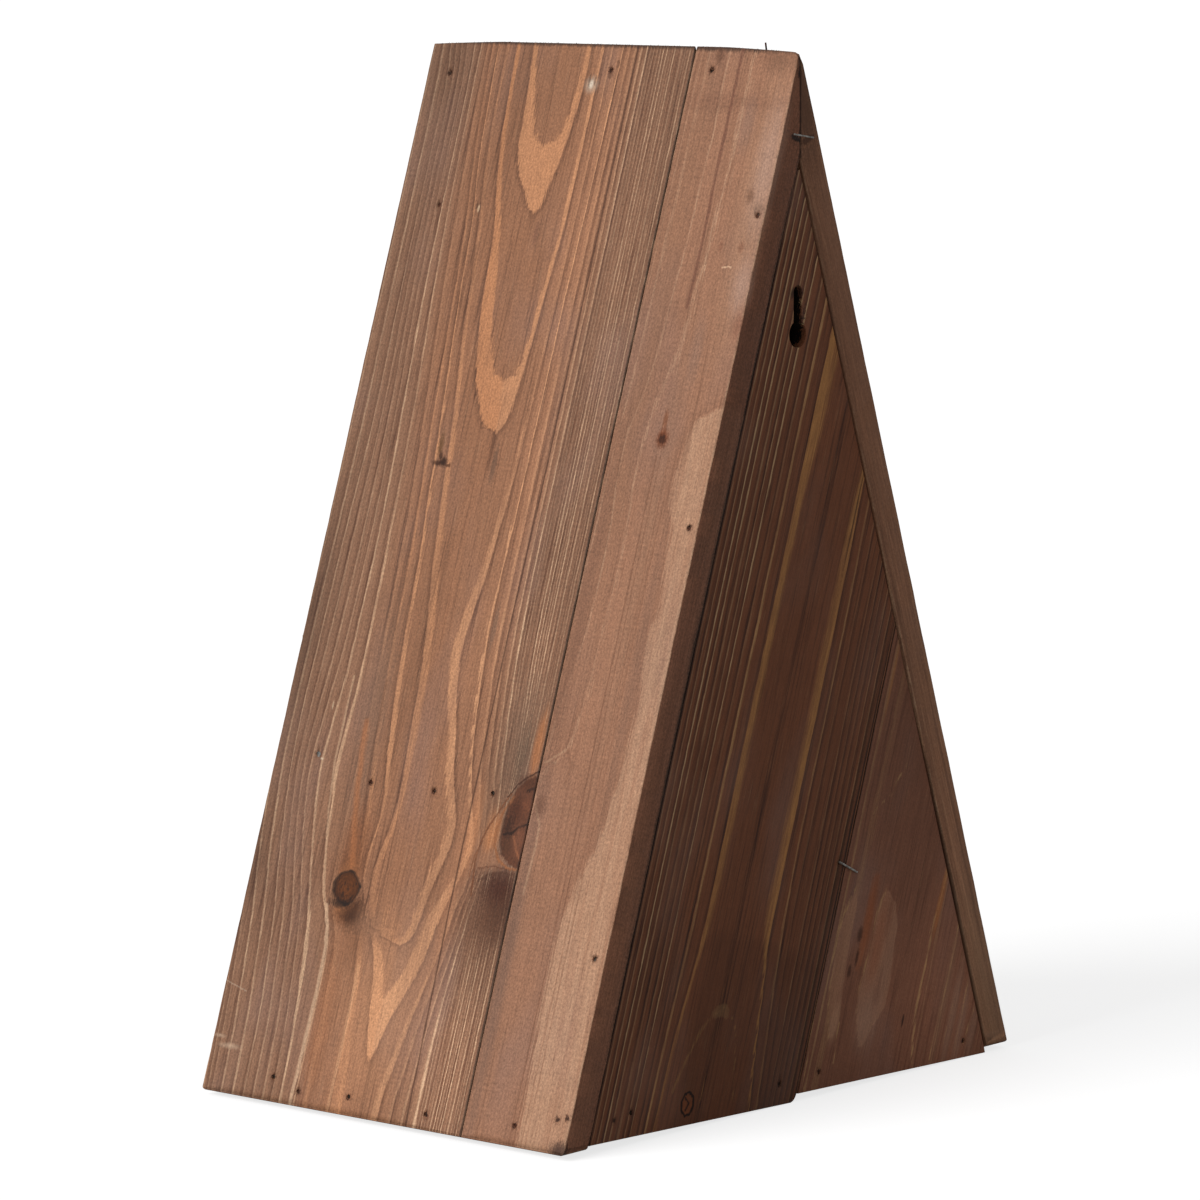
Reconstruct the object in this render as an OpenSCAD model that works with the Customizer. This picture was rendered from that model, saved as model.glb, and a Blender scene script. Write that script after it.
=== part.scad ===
// Triangular birdhouse of stained softwood boards, in millimetres.
// X runs across the front, Y from the front to the back and Z up.
// The origin is on the ground, under the middle of the side panels.

/* [Overall] */
// Height of the ridge above the lower ends of the side panels
side_rise = 400; // [370:1:430]
// Width over the lower ends of the side panels
base_w = 274; // [255:1:300]
// Depth from the front edges to the rear edges of the side panels
depth = 184; // [176:1:200]
// Height of the side panels' lower ends above the ground
side_lift = 2; // [1:0.5:3]

/* [Side panels] */
// Thickness of the side boards
side_t = 13.4; // [12:0.2:15]
// Width of the wide front board of each side panel
wide_w = 133.5; // [126:0.5:138]
// Radius of the eased long edges of the side boards
edge_r = 0.8; // [0.4:0.1:1.5]
// Radius of the rounded lower corners of the side panels
foot_r = 2.5; // [1:0.5:4]
// Radius of the eased outer edge along the side panels' feet
foot_edge_r = 0.8; // [0.4:0.1:1.5]
// Width of the joint between the two panels along the ridge
mitre_gap = 0.3; // [0.1:0.1:0.6]
// Height by which the ridge bows up between its front and rear ends
crown_bow = 2.2; // [1:0.1:3]

/* [Back] */
// Thickness of the back boards
back_t = 13.4; // [12:0.2:15]
// Distance of the back behind the rear edges of the side panels
back_inset = 1; // [0.5:0.1:2]
// Gap between the back and the side panels
back_gap = 0.7; // [0.4:0.1:1]
// Width of the main back board, measured square to its seam
back_main_w = 117; // [105:0.1:125]
// Gap in the seam of the back
back_seam_gap = 0.2; // [0.1:0.05:0.4]
// Height of the main back board's outer lower corner above the ground
main_corner_z = 3.4; // [1:0.1:4]
// Height of the corner back board's lower edge beside the seam
seam_step_z = 2.9; // [1:0.1:4]
// Radius of the main back board's low corner beside the seam
back_corner_r = 5; // [3:0.5:6]
// Diameter of the hanger's round hole
key_d = 10.3; // [9:0.1:12]
// Width of the hanger's slot
key_slot_w = 5; // [4.5:0.1:6]
// Distance of the round hole's centre below the ridge
key_drop = 107.5; // [100:0.5:116]
// Rise of the slot's upper end above the round hole's centre
key_slot_rise = 18.5; // [15:0.5:20]

/* [Floor and shelf] */
// Thickness of the floor boards
floor_t = 13.4; // [12:0.2:15]
// Thickness of the nest shelf boards
shelf_t = 13; // [12:0.2:15]
// Height of the nest shelf's middle above the ground
shelf_z = 122; // [110:0.5:130]
// Width of the rear boards of the floor and of the nest shelf
rear_strip_w = 50.5; // [42:0.5:52]
// Gap between these boards and what they fit between
board_fit = 0.15; // [0.1:0.05:0.3]

/* [Front] */
// Thickness of the rail, the door and the gable block
front_t = 13; // [12:0.2:15]
// Distance of their front faces behind the side panels' front edges
front_recess = 15.5; // [14:0.5:18]
// Height of the feeding tray's front rail
rail_h = 40; // [30:1:60]
// Height of the gable block from its lower edge to its point
gable_h = 55.8; // [54:0.2:64]
// Gap between the door and the side panels
door_side_gap = 1.2; // [1.1:0.1:1.6]
// Gap between the door and the gable block above it
door_top_gap = 0.8; // [0.6:0.1:1.5]
// Play of the closed door before it meets its stop or the button
door_play = 0.3; // [0.2:0.1:0.5]
// Width of the main door board, measured square to its seam
door_main_w = 117; // [110:0.1:125]
// Height of the door's pivot above the nest shelf's upper face
pivot_rise = 1; // [0.5:0.1:2]
// Height above the pivot up to which the door's sides are sawn upright
door_upright_h = 8; // [7:0.5:14]
// Distance from the pivot to the door's rounded lower edge
heel_r = 7; // [6.8:0.1:8]
// Gap between the turned heel of the door and the nest shelf
heel_gap = 0.3; // [0.2:0.1:0.5]
// Diameter of the entrance hole
entrance_d = 32; // [26:1:36]
// Height of the entrance hole's centre above the nest shelf's upper face
entrance_rise = 108.5; // [96:0.5:112]
// Width of the stop batten behind the door
stop_w = 18; // [14:1:20]
// Height of the stop batten
stop_h = 34; // [28:1:36]
// Thickness of the stop batten
stop_t = 8; // [6:0.5:10]
// Height by which the stop batten overlaps the door
stop_overlap = 10; // [6:1:14]

/* [Perch and turn button] */
// Diameter of the perch
perch_d = 8; // [6:0.5:10]
// Length of the perch in front of the door
perch_out = 30; // [20:1:45]
// Depth of the perch's seat in the door
perch_seat = 9; // [6:0.5:10]
// Distance of the perch below the entrance hole's centre
perch_drop = 32; // [28:1:40]
// Length of the turn button from its screw to its tip
button_reach = 14; // [12:0.5:14.5]
// Width of the turn button
button_w = 11; // [9:0.5:12]
// Thickness of the turn button
button_t = 5; // [4:0.5:6]
// Height by which the turned button overlaps the door
button_overlap = 7; // [5:0.5:8]
// Diameter of the button's screw
screw_d = 3; // [2.5:0.1:3.5]
// Diameter of the screw's head
screw_head_d = 6.6; // [5.5:0.1:7.5]
// Depth of the screw in the gable block
screw_seat = 10; // [8:0.5:11]

/* [Fasteners] */
// Diameter of the brads
brad_d = 1.4; // [1:0.1:1.6]
// Diameter of the brads' heads
brad_head_d = 1.8; // [1.7:0.1:2.4]
// Length of the brads
brad_l = 25; // [20:1:28]
// Length of the brads along the ridge
ridge_brad_l = 18; // [14:1:20]
// Depth of the brads' heads below the surface
brad_sink = 0.7; // [0.4:0.1:1]
// Diameter of the door's pivot nails
pivot_d = 1.8; // [1.6:0.1:2.4]
// Length of the door's pivot nails
pivot_l = 32; // [26:1:36]
// Radial clearance of the door on its pivot nails
pivot_play = 0.06; // [0.03:0.01:0.1]
// Width of the staples' crowns
staple_w = 12.8; // [10:0.1:14]
// Diameter of the staples' wire
staple_d = 0.9; // [0.7:0.1:1.2]
// Length of the staples' legs
staple_leg = 8; // [6:0.5:10]

/* [Hidden] */
$fn = 48;
crown_fn = 360;

lean = atan(base_w / 2 / side_rise);
slope_l = side_rise / cos(lean);
apex_z = side_lift + side_rise;
inner_apex_z = apex_z - side_t / sin(lean);
front_y = -depth / 2;
rear_y = depth / 2;
overrun = 20;
cut = 1;

// The ridge's bow is an arc whose chord is the depth
crown_r = depth * depth / (8 * crown_bow);
crown_lift = 0.4;

back_y = rear_y - back_inset - back_t;
front_face_y = front_y + front_recess;
front_back_y = front_face_y + front_t;
pivot_y = front_face_y + front_t / 2;
pivot_z = shelf_z + shelf_t / 2 + pivot_rise;
shelf_y = pivot_y + heel_r + heel_gap;
floor_l = back_y - board_fit - front_back_y;
shelf_l = back_y - board_fit - shelf_y;
gable_z = inner_apex_z - gable_h;
door_top_z = gable_z - door_top_gap;
stop_z = door_top_z - stop_overlap;
key_z = apex_z - key_drop;
entrance_z = shelf_z + shelf_t / 2 + entrance_rise;
perch_z = entrance_z - perch_drop;
button_z = door_top_z - button_overlap + button_reach;
button_y = front_face_y - door_play;
screw_head_h = 2.2;
screw_slot_w = 0.9;
screw_slot_h = 1;
screw_play = 0.08;
seat_fit = 0.05;
brad_fit = 0.03;
brad_head_h = 1;
pivot_head_d = 2.4;
pivot_sink = 0.5;
staple_proud = 0.05;
staple_sink = 0.02;

// Brads in the side panels, as distances behind the front edges and down from the ridge
ridge_tilt = 37;
right_ridge_marks = [[12, 13.5], [94, 10.5], [143.5, 9.5]];
left_ridge_marks = [[38, 12], [118, 12]];
stray_pin_at = 167;
stray_pin_out = 1.2;
stray_pin_d = 0.7;
right_gable_mark = 21.5;
left_gable_mark = 25.5;
gable_mark_rise = 33.5;
// Brads into the back's edges: distance behind the back's front face, and down from the ridge
right_back_marks = [[10.5, 65.5], [10, 186], [9, 349.5]];
left_back_marks = [[4.5, 72], [5, 194], [4.5, 341]];
// Brads into the shelf and the floor: distance behind each one's front edge, and rise
shelf_marks = [[22.5, 0], [55, 0], [84, 2]];
floor_marks = [[7, 4.5], [21, 0.8], [46.5, 2.3], [86, 1.1], [129.5, 3]];
// Brads through the back's foot: place across, and height above the ground
back_foot_marks = [[97.5, 12], [9, 8.5], [-15.5, 9], [-108, 7]];
// Brads through the rail's face, as places across
rail_marks = [-80, 2, 78];
stop_mark_x = 5;
// The ridge's staple: its middle across and below the ridge, and the slope of its crown
ridge_staple_x = -2.2;
ridge_staple_drop = 33;
ridge_staple_tilt = 8;
// The seam's staple: its middle beside the seam, its height, and the slope of its crown
seam_staple_aside = -1.5;
seam_staple_z = 87;
seam_staple_tilt = 26;

// Half the free width between the side panels at a height
function inner_half(z) = (inner_apex_z - z) * tan(lean);
// Half the width at a height of a board that keeps a gap to both side panels
function fitted_half(z, gap) = inner_half(z) - gap / cos(lean);

// A rectangle with rounded corners, made of plain shapes
module rounded_rect(w, h, r) {
    translate([r, 0]) square([w - 2 * r, h]);
    translate([0, r]) square([w, h - 2 * r]);
    for (x = [r, w - r], y = [r, h - r]) translate([x, y]) circle(r);
}

// Lays its children on the right panel: X out of its outer face, Z up the slope to the ridge
module on_slope() translate([0, 0, apex_z]) rotate([0, -lean, 0]) children();

module left() mirror([1, 0, 0]) children();

// Extrudes an outline drawn in X and Z from y over a thickness
module upright(y, t) translate([0, y + t, 0]) rotate([90, 0, 0]) linear_extrude(t) children();

// The level trapezoid between the side panels from one height to another
module between_sides(z_low, z_high, gap)
    polygon([[-fitted_half(z_low, gap), z_low], [fitted_half(z_low, gap), z_low],
             [fitted_half(z_high, gap), z_high], [-fitted_half(z_high, gap), z_high]]);

// Stands its children on the right panel's outer face, with Z turned outwards by tilt
module on_side(from_front, down, tilt)
    translate([down * sin(lean), front_y + from_front, apex_z - down * cos(lean)])
        rotate([0, tilt, 0]) children();

module at_ridge(marks) for (m = marks) on_side(m[0], m[1], ridge_tilt) children();

module at_back_edge(marks)
    for (m = marks) on_side(back_y - front_y + m[0], m[1], 90 - lean) children();

module at_height(y, z) on_side(y - front_y, (apex_z - z) / cos(lean), 90) children();

module at_shelf() for (m = shelf_marks) at_height(shelf_y + m[0], shelf_z + m[1]) children();

module at_floor()
    for (m = floor_marks) at_height(front_back_y + m[0], floor_t / 2 + m[1]) children();

module at_gable(mark)
    on_side(mark, (apex_z - gable_z - gable_mark_rise) / cos(lean), 90 - lean) children();

module at_back_foot()
    for (m = back_foot_marks)
        translate([m[0], rear_y - back_inset, m[1]]) rotate([-90, 0, 0]) children();

module at_rail()
    for (x = rail_marks) translate([x, front_face_y, floor_t / 2]) rotate([90, 0, 0]) children();

module at_stop()
    for (s = [-1, 1])
        translate([s * stop_mark_x, front_back_y + door_play + stop_t, stop_z + stop_h - 8])
            rotate([-90, 0, 0]) children();

module at_stray_pin()
    translate([0, front_y + stray_pin_at, apex_z + crown_lift + stray_pin_out])
        rotate([4, 6, 0]) children();

// A brad driven down from the origin, its head sunk below the surface
module brad(l = brad_l) {
    translate([0, 0, -l]) cylinder(h = l - brad_sink - brad_head_h, d = brad_d);
    translate([0, 0, -brad_sink - brad_head_h]) cylinder(h = brad_head_h, d = brad_head_d);
}

module brad_hole(l = brad_l) {
    translate([0, 0, -l - brad_fit]) cylinder(h = l, d = brad_d + 2 * brad_fit);
    translate([0, 0, -brad_sink - brad_head_h - brad_fit])
        cylinder(h = brad_sink + brad_head_h + 2, d = brad_head_d + 2 * brad_fit);
}

module stray_pin(fit = 0)
    translate([0, 0, -ridge_brad_l - fit]) cylinder(h = ridge_brad_l + fit, d = stray_pin_d + 2 * fit);

// A nail that the door turns on, driven level through a side panel
module pivot_nail() {
    translate([0, 0, -pivot_l]) cylinder(h = pivot_l - pivot_sink - brad_head_h, d = pivot_d);
    translate([0, 0, -pivot_sink - brad_head_h]) cylinder(h = brad_head_h, d = pivot_head_d);
}

module pivot_nail_hole() {
    translate([0, 0, -pivot_l]) cylinder(h = pivot_l, d = pivot_d + 2 * brad_fit);
    translate([0, 0, -pivot_sink - brad_head_h - brad_fit])
        cylinder(h = pivot_sink + brad_head_h + 2, d = pivot_head_d + 2 * brad_fit);
}

// A wire staple driven in along Y, with the middle of its crown's wire at crown_y
module staple(x, z, tilt, crown_y, fit = 0)
    translate([x, crown_y, z]) rotate([0, -tilt, 0]) {
        rotate([0, 90, 0]) cylinder(h = staple_w - staple_d, d = staple_d + 2 * fit, center = true);
        for (s = [-1, 1]) translate([s * (staple_w - staple_d) / 2, 0, 0]) {
            sphere(d = staple_d + 2 * fit);
            rotate([90, 0, 0]) cylinder(h = staple_leg + fit, d = staple_d + 2 * fit);
        }
    }

// It is driven in until its crown is flush with the panels' rear edges
module ridge_staple(fit = 0)
    staple(ridge_staple_x, apex_z - ridge_staple_drop, ridge_staple_tilt,
           rear_y - staple_sink - staple_d / 2, fit);

// Its crown stands on the back's face
module seam_staple(fit = 0)
    staple(seam_x(seam_staple_z, back_main_w, back_gap) + seam_staple_aside, seam_staple_z,
           seam_staple_tilt, rear_y - back_inset + staple_proud + staple_d / 2, fit);

// Every hole that the fasteners make in the right panel
module right_panel_holes() {
    at_ridge(right_ridge_marks) brad_hole(ridge_brad_l);
    left() at_ridge(left_ridge_marks) brad_hole(ridge_brad_l);
    at_stray_pin() stray_pin(brad_fit);
    at_back_edge(right_back_marks) brad_hole();
    at_shelf() brad_hole();
    at_floor() brad_hole();
    at_gable(right_gable_mark) brad_hole();
    at_height(pivot_y, pivot_z) pivot_nail_hole();
    ridge_staple(brad_fit);
}

module left_panel_holes() {
    at_ridge(right_ridge_marks) brad_hole(ridge_brad_l);
    left() at_ridge(left_ridge_marks) brad_hole(ridge_brad_l);
    at_stray_pin() stray_pin(brad_fit);
    left() at_back_edge(left_back_marks) brad_hole();
    left() at_shelf() brad_hole();
    left() at_floor() brad_hole();
    left() at_gable(left_gable_mark) brad_hole();
    left() at_height(pivot_y, pivot_z) pivot_nail_hole();
    ridge_staple(brad_fit);
}

// The sliver outside the rounded edge between a side panel's outer face and its foot
module foot_edge_sliver() {
    centre = [base_w / 2 - foot_edge_r / tan((90 - lean) / 2), side_lift + foot_edge_r];
    out = [cos(lean), sin(lean)];
    upright(front_y - cut, depth + 2 * cut) difference() {
        polygon([centre, [centre[0], side_lift - cut], [base_w / 2 + 2 * cut, side_lift - cut],
                 centre + (foot_edge_r + cut) * out]);
        translate(centre) circle(foot_edge_r);
    }
}

// The sliver outside the rounded lower corner at the front or the rear edge
module foot_corner_sliver(y, inwards)
    translate([0, y, side_lift]) mirror([0, inwards > 0 ? 0 : 1, 0]) difference() {
        translate([0, -cut, -cut]) cube([base_w, foot_r + cut, foot_r + cut]);
        translate([-cut, foot_r, foot_r]) rotate([0, 90, 0]) cylinder(h = base_w + 2 * cut, r = foot_r);
    }

// One board of the right side panel, mitred at the ridge and cut level at the foot
module side_board(y, w)
    difference() {
        intersection() {
            on_slope() translate([-side_t, y, -slope_l - overrun])
                linear_extrude(slope_l + 2 * overrun) rounded_rect(side_t, w, edge_r);
            translate([mitre_gap / 2, y - cut, side_lift]) cube([base_w, w + 2 * cut, side_rise + overrun]);
            translate([-cut, 0, apex_z + crown_lift - crown_r]) rotate([0, 90, 0])
                cylinder(h = base_w, r = crown_r, $fn = crown_fn);
        }
        foot_edge_sliver();
    }

module wide_board()
    difference() {
        side_board(front_y, wide_w);
        foot_corner_sliver(front_y, 1);
    }

module narrow_board()
    difference() {
        side_board(front_y + wide_w, depth - wide_w);
        foot_corner_sliver(rear_y, -1);
    }

module right_side_wide_board() color("#96694f") difference() {
    wide_board();
    right_panel_holes();
}

module right_side_narrow_board() color("#ab8068") difference() {
    narrow_board();
    right_panel_holes();
}

module left_side_wide_board() color("#96694f") difference() {
    left() wide_board();
    left_panel_holes();
}

module left_side_narrow_board() color("#a67b62") difference() {
    left() narrow_board();
    left_panel_holes();
}

// Height at which the seam of a panel meets the left side panel, for a foot height and a width
function seam_meet_z(z, main_w, gap) =
    z + (2 * fitted_half(z, gap) - main_w / cos(lean)) / (2 * tan(lean));
// Place across of the seam at a height
function seam_x(z, main_w, gap) = fitted_half(z, gap) - main_w / cos(lean);

// The board that runs up to the apex, with its seam parallel to the right side
module main_outline(z_right, z_seam, z_top, main_w, gap) {
    meet = seam_meet_z(z_right, main_w, gap);
    polygon([[fitted_half(z_right, gap), z_right], [fitted_half(z_top, gap), z_top],
             [-fitted_half(z_top, gap), z_top], [-fitted_half(meet, gap), meet],
             [seam_x(z_seam, main_w, gap), z_seam]]);
}

// The left lower board beyond the seam
module corner_outline(z_seam, z_left, main_w, gap, seam_gap) {
    w = main_w + seam_gap;
    meet = seam_meet_z(z_left, w, gap);
    polygon([[seam_x(z_seam, w, gap), z_seam], [-fitted_half(meet, gap), meet],
             [-fitted_half(z_left, gap), z_left]]);
}

module keyhole() {
    translate([0, back_y - cut, key_z]) rotate([-90, 0, 0]) cylinder(h = back_t + 2 * cut, d = key_d);
    translate([-key_slot_w / 2, back_y - cut, key_z])
        cube([key_slot_w, back_t + 2 * cut, key_slot_rise - key_slot_w / 2]);
    translate([0, back_y - cut, key_z + key_slot_rise - key_slot_w / 2])
        rotate([-90, 0, 0]) cylinder(h = back_t + 2 * cut, d = key_slot_w);
}

module back_holes() {
    at_back_edge(right_back_marks) brad_hole();
    left() at_back_edge(left_back_marks) brad_hole();
    at_back_foot() brad_hole();
    seam_staple(brad_fit);
}

// The sliver outside the rounded low corner of the main back board
module back_corner_sliver() {
    x = seam_x(0, back_main_w, back_gap);
    r = back_corner_r;
    upright(back_y - cut, back_t + 2 * cut) difference() {
        translate([x - 2 * cut, -cut]) square([r + 2 * cut, r + cut]);
        translate([x + r - r * tan(lean) / 2, r]) circle(r);
        translate([x - 3 * cut, r * 0.6]) square([r + 3 * cut, r]);
    }
}

module back_main_board() color("#4a3126") difference() {
    upright(back_y, back_t)
        main_outline(main_corner_z, 0, inner_apex_z - 2 * back_gap / sin(lean), back_main_w, back_gap);
    back_corner_sliver();
    keyhole();
    back_holes();
}

module back_corner_board() color("#523a2f") difference() {
    upright(back_y, back_t) corner_outline(seam_step_z, 0, back_main_w, back_gap, back_seam_gap);
    back_holes();
}

// A level board between the side panels, its ends cut to their slope
module level_board(z_low, t, y, w) upright(y, w) between_sides(z_low, z_low + t, board_fit);

module floor_holes() {
    at_floor() brad_hole();
    left() at_floor() brad_hole();
    at_back_foot() brad_hole();
    at_rail() brad_hole();
}

module shelf_holes() {
    at_shelf() brad_hole();
    left() at_shelf() brad_hole();
}

module floor_front_board() color("#8f6a52") difference() {
    level_board(0, floor_t, front_back_y, floor_l - rear_strip_w);
    floor_holes();
}

module floor_rear_board() color("#9a745a") difference() {
    level_board(0, floor_t, front_back_y + floor_l - rear_strip_w, rear_strip_w);
    floor_holes();
}

module nest_shelf_front_board() color("#8f6a52") difference() {
    level_board(shelf_z - shelf_t / 2, shelf_t, shelf_y, shelf_l - rear_strip_w);
    shelf_holes();
}

module nest_shelf_rear_board() color("#9a745a") difference() {
    level_board(shelf_z - shelf_t / 2, shelf_t, shelf_y + shelf_l - rear_strip_w, rear_strip_w);
    shelf_holes();
}

module tray_rail() color("#8a6048") difference() {
    upright(front_face_y, front_t) between_sides(0, rail_h, board_fit);
    at_rail() brad_hole();
}

module gable_block() color("#8a6048") difference() {
    upright(front_face_y + door_play, front_t)
        between_sides(gable_z, inner_apex_z - 2 * board_fit / sin(lean), board_fit);
    at_gable(right_gable_mark) brad_hole();
    left() at_gable(left_gable_mark) brad_hole();
    at_stop() brad_hole(stop_t + 10);
    button_screw_shank(screw_d + 2 * seat_fit);
}

module door_stop() color("#7c5843") difference() {
    translate([-stop_w / 2, front_back_y + door_play, stop_z]) cube([stop_w, stop_t, stop_h]);
    at_stop() brad_hole(stop_t + 10);
}

// The door's side view: a square front corner below, and a heel rounded about the pivot
module door_section() {
    translate([0, pivot_y, pivot_z]) rotate([90, 0, 90])
        translate([0, 0, -base_w / 2]) linear_extrude(base_w) {
            translate([-front_t / 2, 0]) square([front_t, door_top_z]);
            translate([-front_t / 2, -heel_r]) square([front_t / 2, heel_r]);
            intersection() {
                circle(heel_r);
                translate([-cut, -heel_r]) square([front_t / 2 + cut, heel_r + cut]);
            }
        }
}

// The space inside the two upright cuts at the door's lower corners
module door_width() {
    half = fitted_half(pivot_z + door_upright_h, door_side_gap);
    translate([-half, front_y, 0]) cube([2 * half, depth, apex_z]);
}

module door_holes() {
    for (m = [0, 1]) mirror([m, 0, 0])
        at_height(pivot_y, pivot_z) translate([0, 0, -pivot_l - 1])
            cylinder(h = pivot_l, d = pivot_d + 2 * pivot_play);
    translate([0, front_face_y - cut, entrance_z]) rotate([-90, 0, 0])
        cylinder(h = front_t + 2 * cut, d = entrance_d);
    translate([0, front_face_y - cut, perch_z]) rotate([-90, 0, 0])
        cylinder(h = perch_seat + cut, d = perch_d + 2 * seat_fit);
}

module door_main_board() color("#9c6f54") difference() {
    intersection() {
        upright(front_face_y, front_t)
            main_outline(pivot_z - heel_r, pivot_z - heel_r, door_top_z, door_main_w, door_side_gap);
        door_section();
        door_width();
    }
    door_holes();
}

module door_corner_board() color("#8d634b") difference() {
    intersection() {
        upright(front_face_y, front_t)
            corner_outline(pivot_z - heel_r, pivot_z - heel_r, door_main_w, door_side_gap, 0.1);
        door_section();
        door_width();
    }
    door_holes();
}

// A dowel with a rounded outer end
module perch() color("#b58a68")
    translate([0, front_face_y + perch_seat, perch_z]) rotate([90, 0, 0]) {
        cylinder(h = perch_seat + perch_out - 1, d = perch_d);
        cylinder(h = perch_seat + perch_out, d = perch_d - 2);
        translate([0, 0, perch_seat + perch_out - 1]) rotate_extrude()
            translate([perch_d / 2 - 1, 0]) intersection() {
                circle(1);
                square(1);
            }
    }

module button_outline() {
    r = button_w / 2;
    circle(r);
    translate([0, -r]) square([button_reach - r, button_w]);
    translate([button_reach - r, 0]) circle(r);
}

module turn_button() color("#6f4a35")
    translate([0, button_y, button_z]) rotate([90, 0, 0]) difference() {
        linear_extrude(button_t) button_outline();
        translate([0, 0, -cut]) cylinder(h = button_t + 2 * cut, d = screw_d + 2 * screw_play);
    }

module button_screw_shank(d)
    translate([0, front_face_y + door_play + screw_seat, button_z]) rotate([90, 0, 0])
        cylinder(h = screw_seat + 2 * door_play + button_t + door_play, d = d);

// A round-headed screw with a straight slot
module button_screw() color("#9a9a96") {
    button_screw_shank(screw_d);
    translate([0, button_y - button_t - door_play, button_z]) rotate([90, 0, 0]) difference() {
        cylinder(h = screw_head_h, d1 = screw_head_d, d2 = screw_head_d * 0.7);
        translate([-screw_head_d, -screw_slot_w / 2, screw_head_h - screw_slot_h])
            cube([2 * screw_head_d, screw_slot_w, screw_slot_h + cut]);
    }
}

module door_pivot_nails() color("#b4b1aa") for (m = [0, 1]) mirror([m, 0, 0])
    at_height(pivot_y, pivot_z) pivot_nail();

module ridge_brads() color("#4a4038") {
    at_ridge(right_ridge_marks) brad(ridge_brad_l);
    left() at_ridge(left_ridge_marks) brad(ridge_brad_l);
    at_stray_pin() stray_pin();
}

module back_edge_brads() color("#4a4038") {
    at_back_edge(right_back_marks) brad();
    left() at_back_edge(left_back_marks) brad();
}

module shelf_brads() color("#4a4038") {
    at_shelf() brad();
    left() at_shelf() brad();
}

module floor_brads() color("#4a4038") {
    at_floor() brad();
    left() at_floor() brad();
}

module back_foot_brads() color("#4a4038") at_back_foot() brad();

module rail_brads() color("#4a4038") at_rail() brad();

module gable_brads() color("#4a4038") {
    at_gable(right_gable_mark) brad();
    left() at_gable(left_gable_mark) brad();
}

module stop_brads() color("#4a4038") at_stop() brad(stop_t + 10);

module seam_staples() color("#8a8580") {
    ridge_staple();
    seam_staple();
}

right_side_wide_board();
right_side_narrow_board();
left_side_wide_board();
left_side_narrow_board();
back_main_board();
back_corner_board();
floor_front_board();
floor_rear_board();
nest_shelf_front_board();
nest_shelf_rear_board();
tray_rail();
gable_block();
door_stop();
door_main_board();
door_corner_board();
perch();
turn_button();
button_screw();
door_pivot_nails();
ridge_brads();
back_edge_brads();
shelf_brads();
floor_brads();
back_foot_brads();
rail_brads();
gable_brads();
stop_brads();
seam_staples();
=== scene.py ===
"""Looks of the triangular birdhouse: stained softwood boards, brads, staples and a tilting door."""

import math

import bmesh
import bpy
import numpy as np
from mathutils import Matrix, Vector


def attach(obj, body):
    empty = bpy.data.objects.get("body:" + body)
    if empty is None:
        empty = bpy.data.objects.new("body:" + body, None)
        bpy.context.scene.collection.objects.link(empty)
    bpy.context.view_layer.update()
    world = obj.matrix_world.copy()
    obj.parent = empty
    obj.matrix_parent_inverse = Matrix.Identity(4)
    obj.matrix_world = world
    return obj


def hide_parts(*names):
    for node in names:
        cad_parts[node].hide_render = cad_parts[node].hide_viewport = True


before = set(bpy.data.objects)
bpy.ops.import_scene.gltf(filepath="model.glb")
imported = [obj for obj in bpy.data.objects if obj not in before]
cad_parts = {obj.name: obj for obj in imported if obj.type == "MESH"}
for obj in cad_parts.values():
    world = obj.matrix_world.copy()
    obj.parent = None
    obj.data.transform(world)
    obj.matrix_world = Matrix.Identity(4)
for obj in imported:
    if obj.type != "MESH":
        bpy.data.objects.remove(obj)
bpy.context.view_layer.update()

MM = 0.001
SIDE_RISE = 400.0
BASE_W = 274.0
DEPTH = 184.0
SIDE_T = 13.4
APEX_Z = 402.0
BACK_Y = 91.0
FRONT_FACE_Y = -76.5
LEAN = math.atan(BASE_W / 2 / SIDE_RISE)
COS, SIN = math.cos(LEAN), math.sin(LEAN)
# The ridge drops towards its ends by distance squared over RIDGE_BOW, less RIDGE_FLAT
RIDGE_BOW, RIDGE_FLAT = 3847, 0.84
HILL_VALUES = 997
OUTER_RING_GAP = 3.0
SHARP_ANGLE = 32
ARRIS_ANGLE = 20
WEAR_REACH, FACE_WEAR = 1.5, 0.35
WOOD_RELIEF = 0.07
FLAT_ANGLE = 0.0005


# Grain: where the growth rings run on each board


def through(points, at):
    """Smooth values through (along, across) points, level beyond both ends, never overshooting."""
    x, y = np.array(points, float).T
    steps = np.diff(y) / np.diff(x)
    before, after = np.append(steps[:1], steps), np.append(steps, steps[-1:])
    most = 2 * np.minimum(abs(before), abs(after)) * (before * after > 0)
    slope = np.clip(np.gradient(y, x), -most, most)
    at = np.clip(at, x[0], x[-1])
    k = np.clip(np.searchsorted(x, at) - 1, 0, len(x) - 2)
    h = x[k + 1] - x[k]
    t = (at - x[k]) / h
    return (
        y[k] * (1 + 2 * t) * (1 - t) ** 2
        + slope[k] * h * t * (1 - t) ** 2
        + y[k + 1] * t * t * (3 - 2 * t)
        + slope[k + 1] * h * t * t * (t - 1)
    )


def shifted(points, widths):
    """The line that lies a given width beside another."""
    return [(v, u + float(through(widths, np.array([float(v)]))[0])) for v, u in points]


def hills(x, step, seed):
    """Smooth one-dimensional noise from 0 to 1 with a new value every step."""
    table = np.random.RandomState(seed).rand(HILL_VALUES)
    k = np.floor(x / step).astype(int)
    t = x / step - k
    t = t * t * (3 - 2 * t)
    return table[k % HILL_VALUES] * (1 - t) + table[(k + 1) % HILL_VALUES] * t


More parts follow.
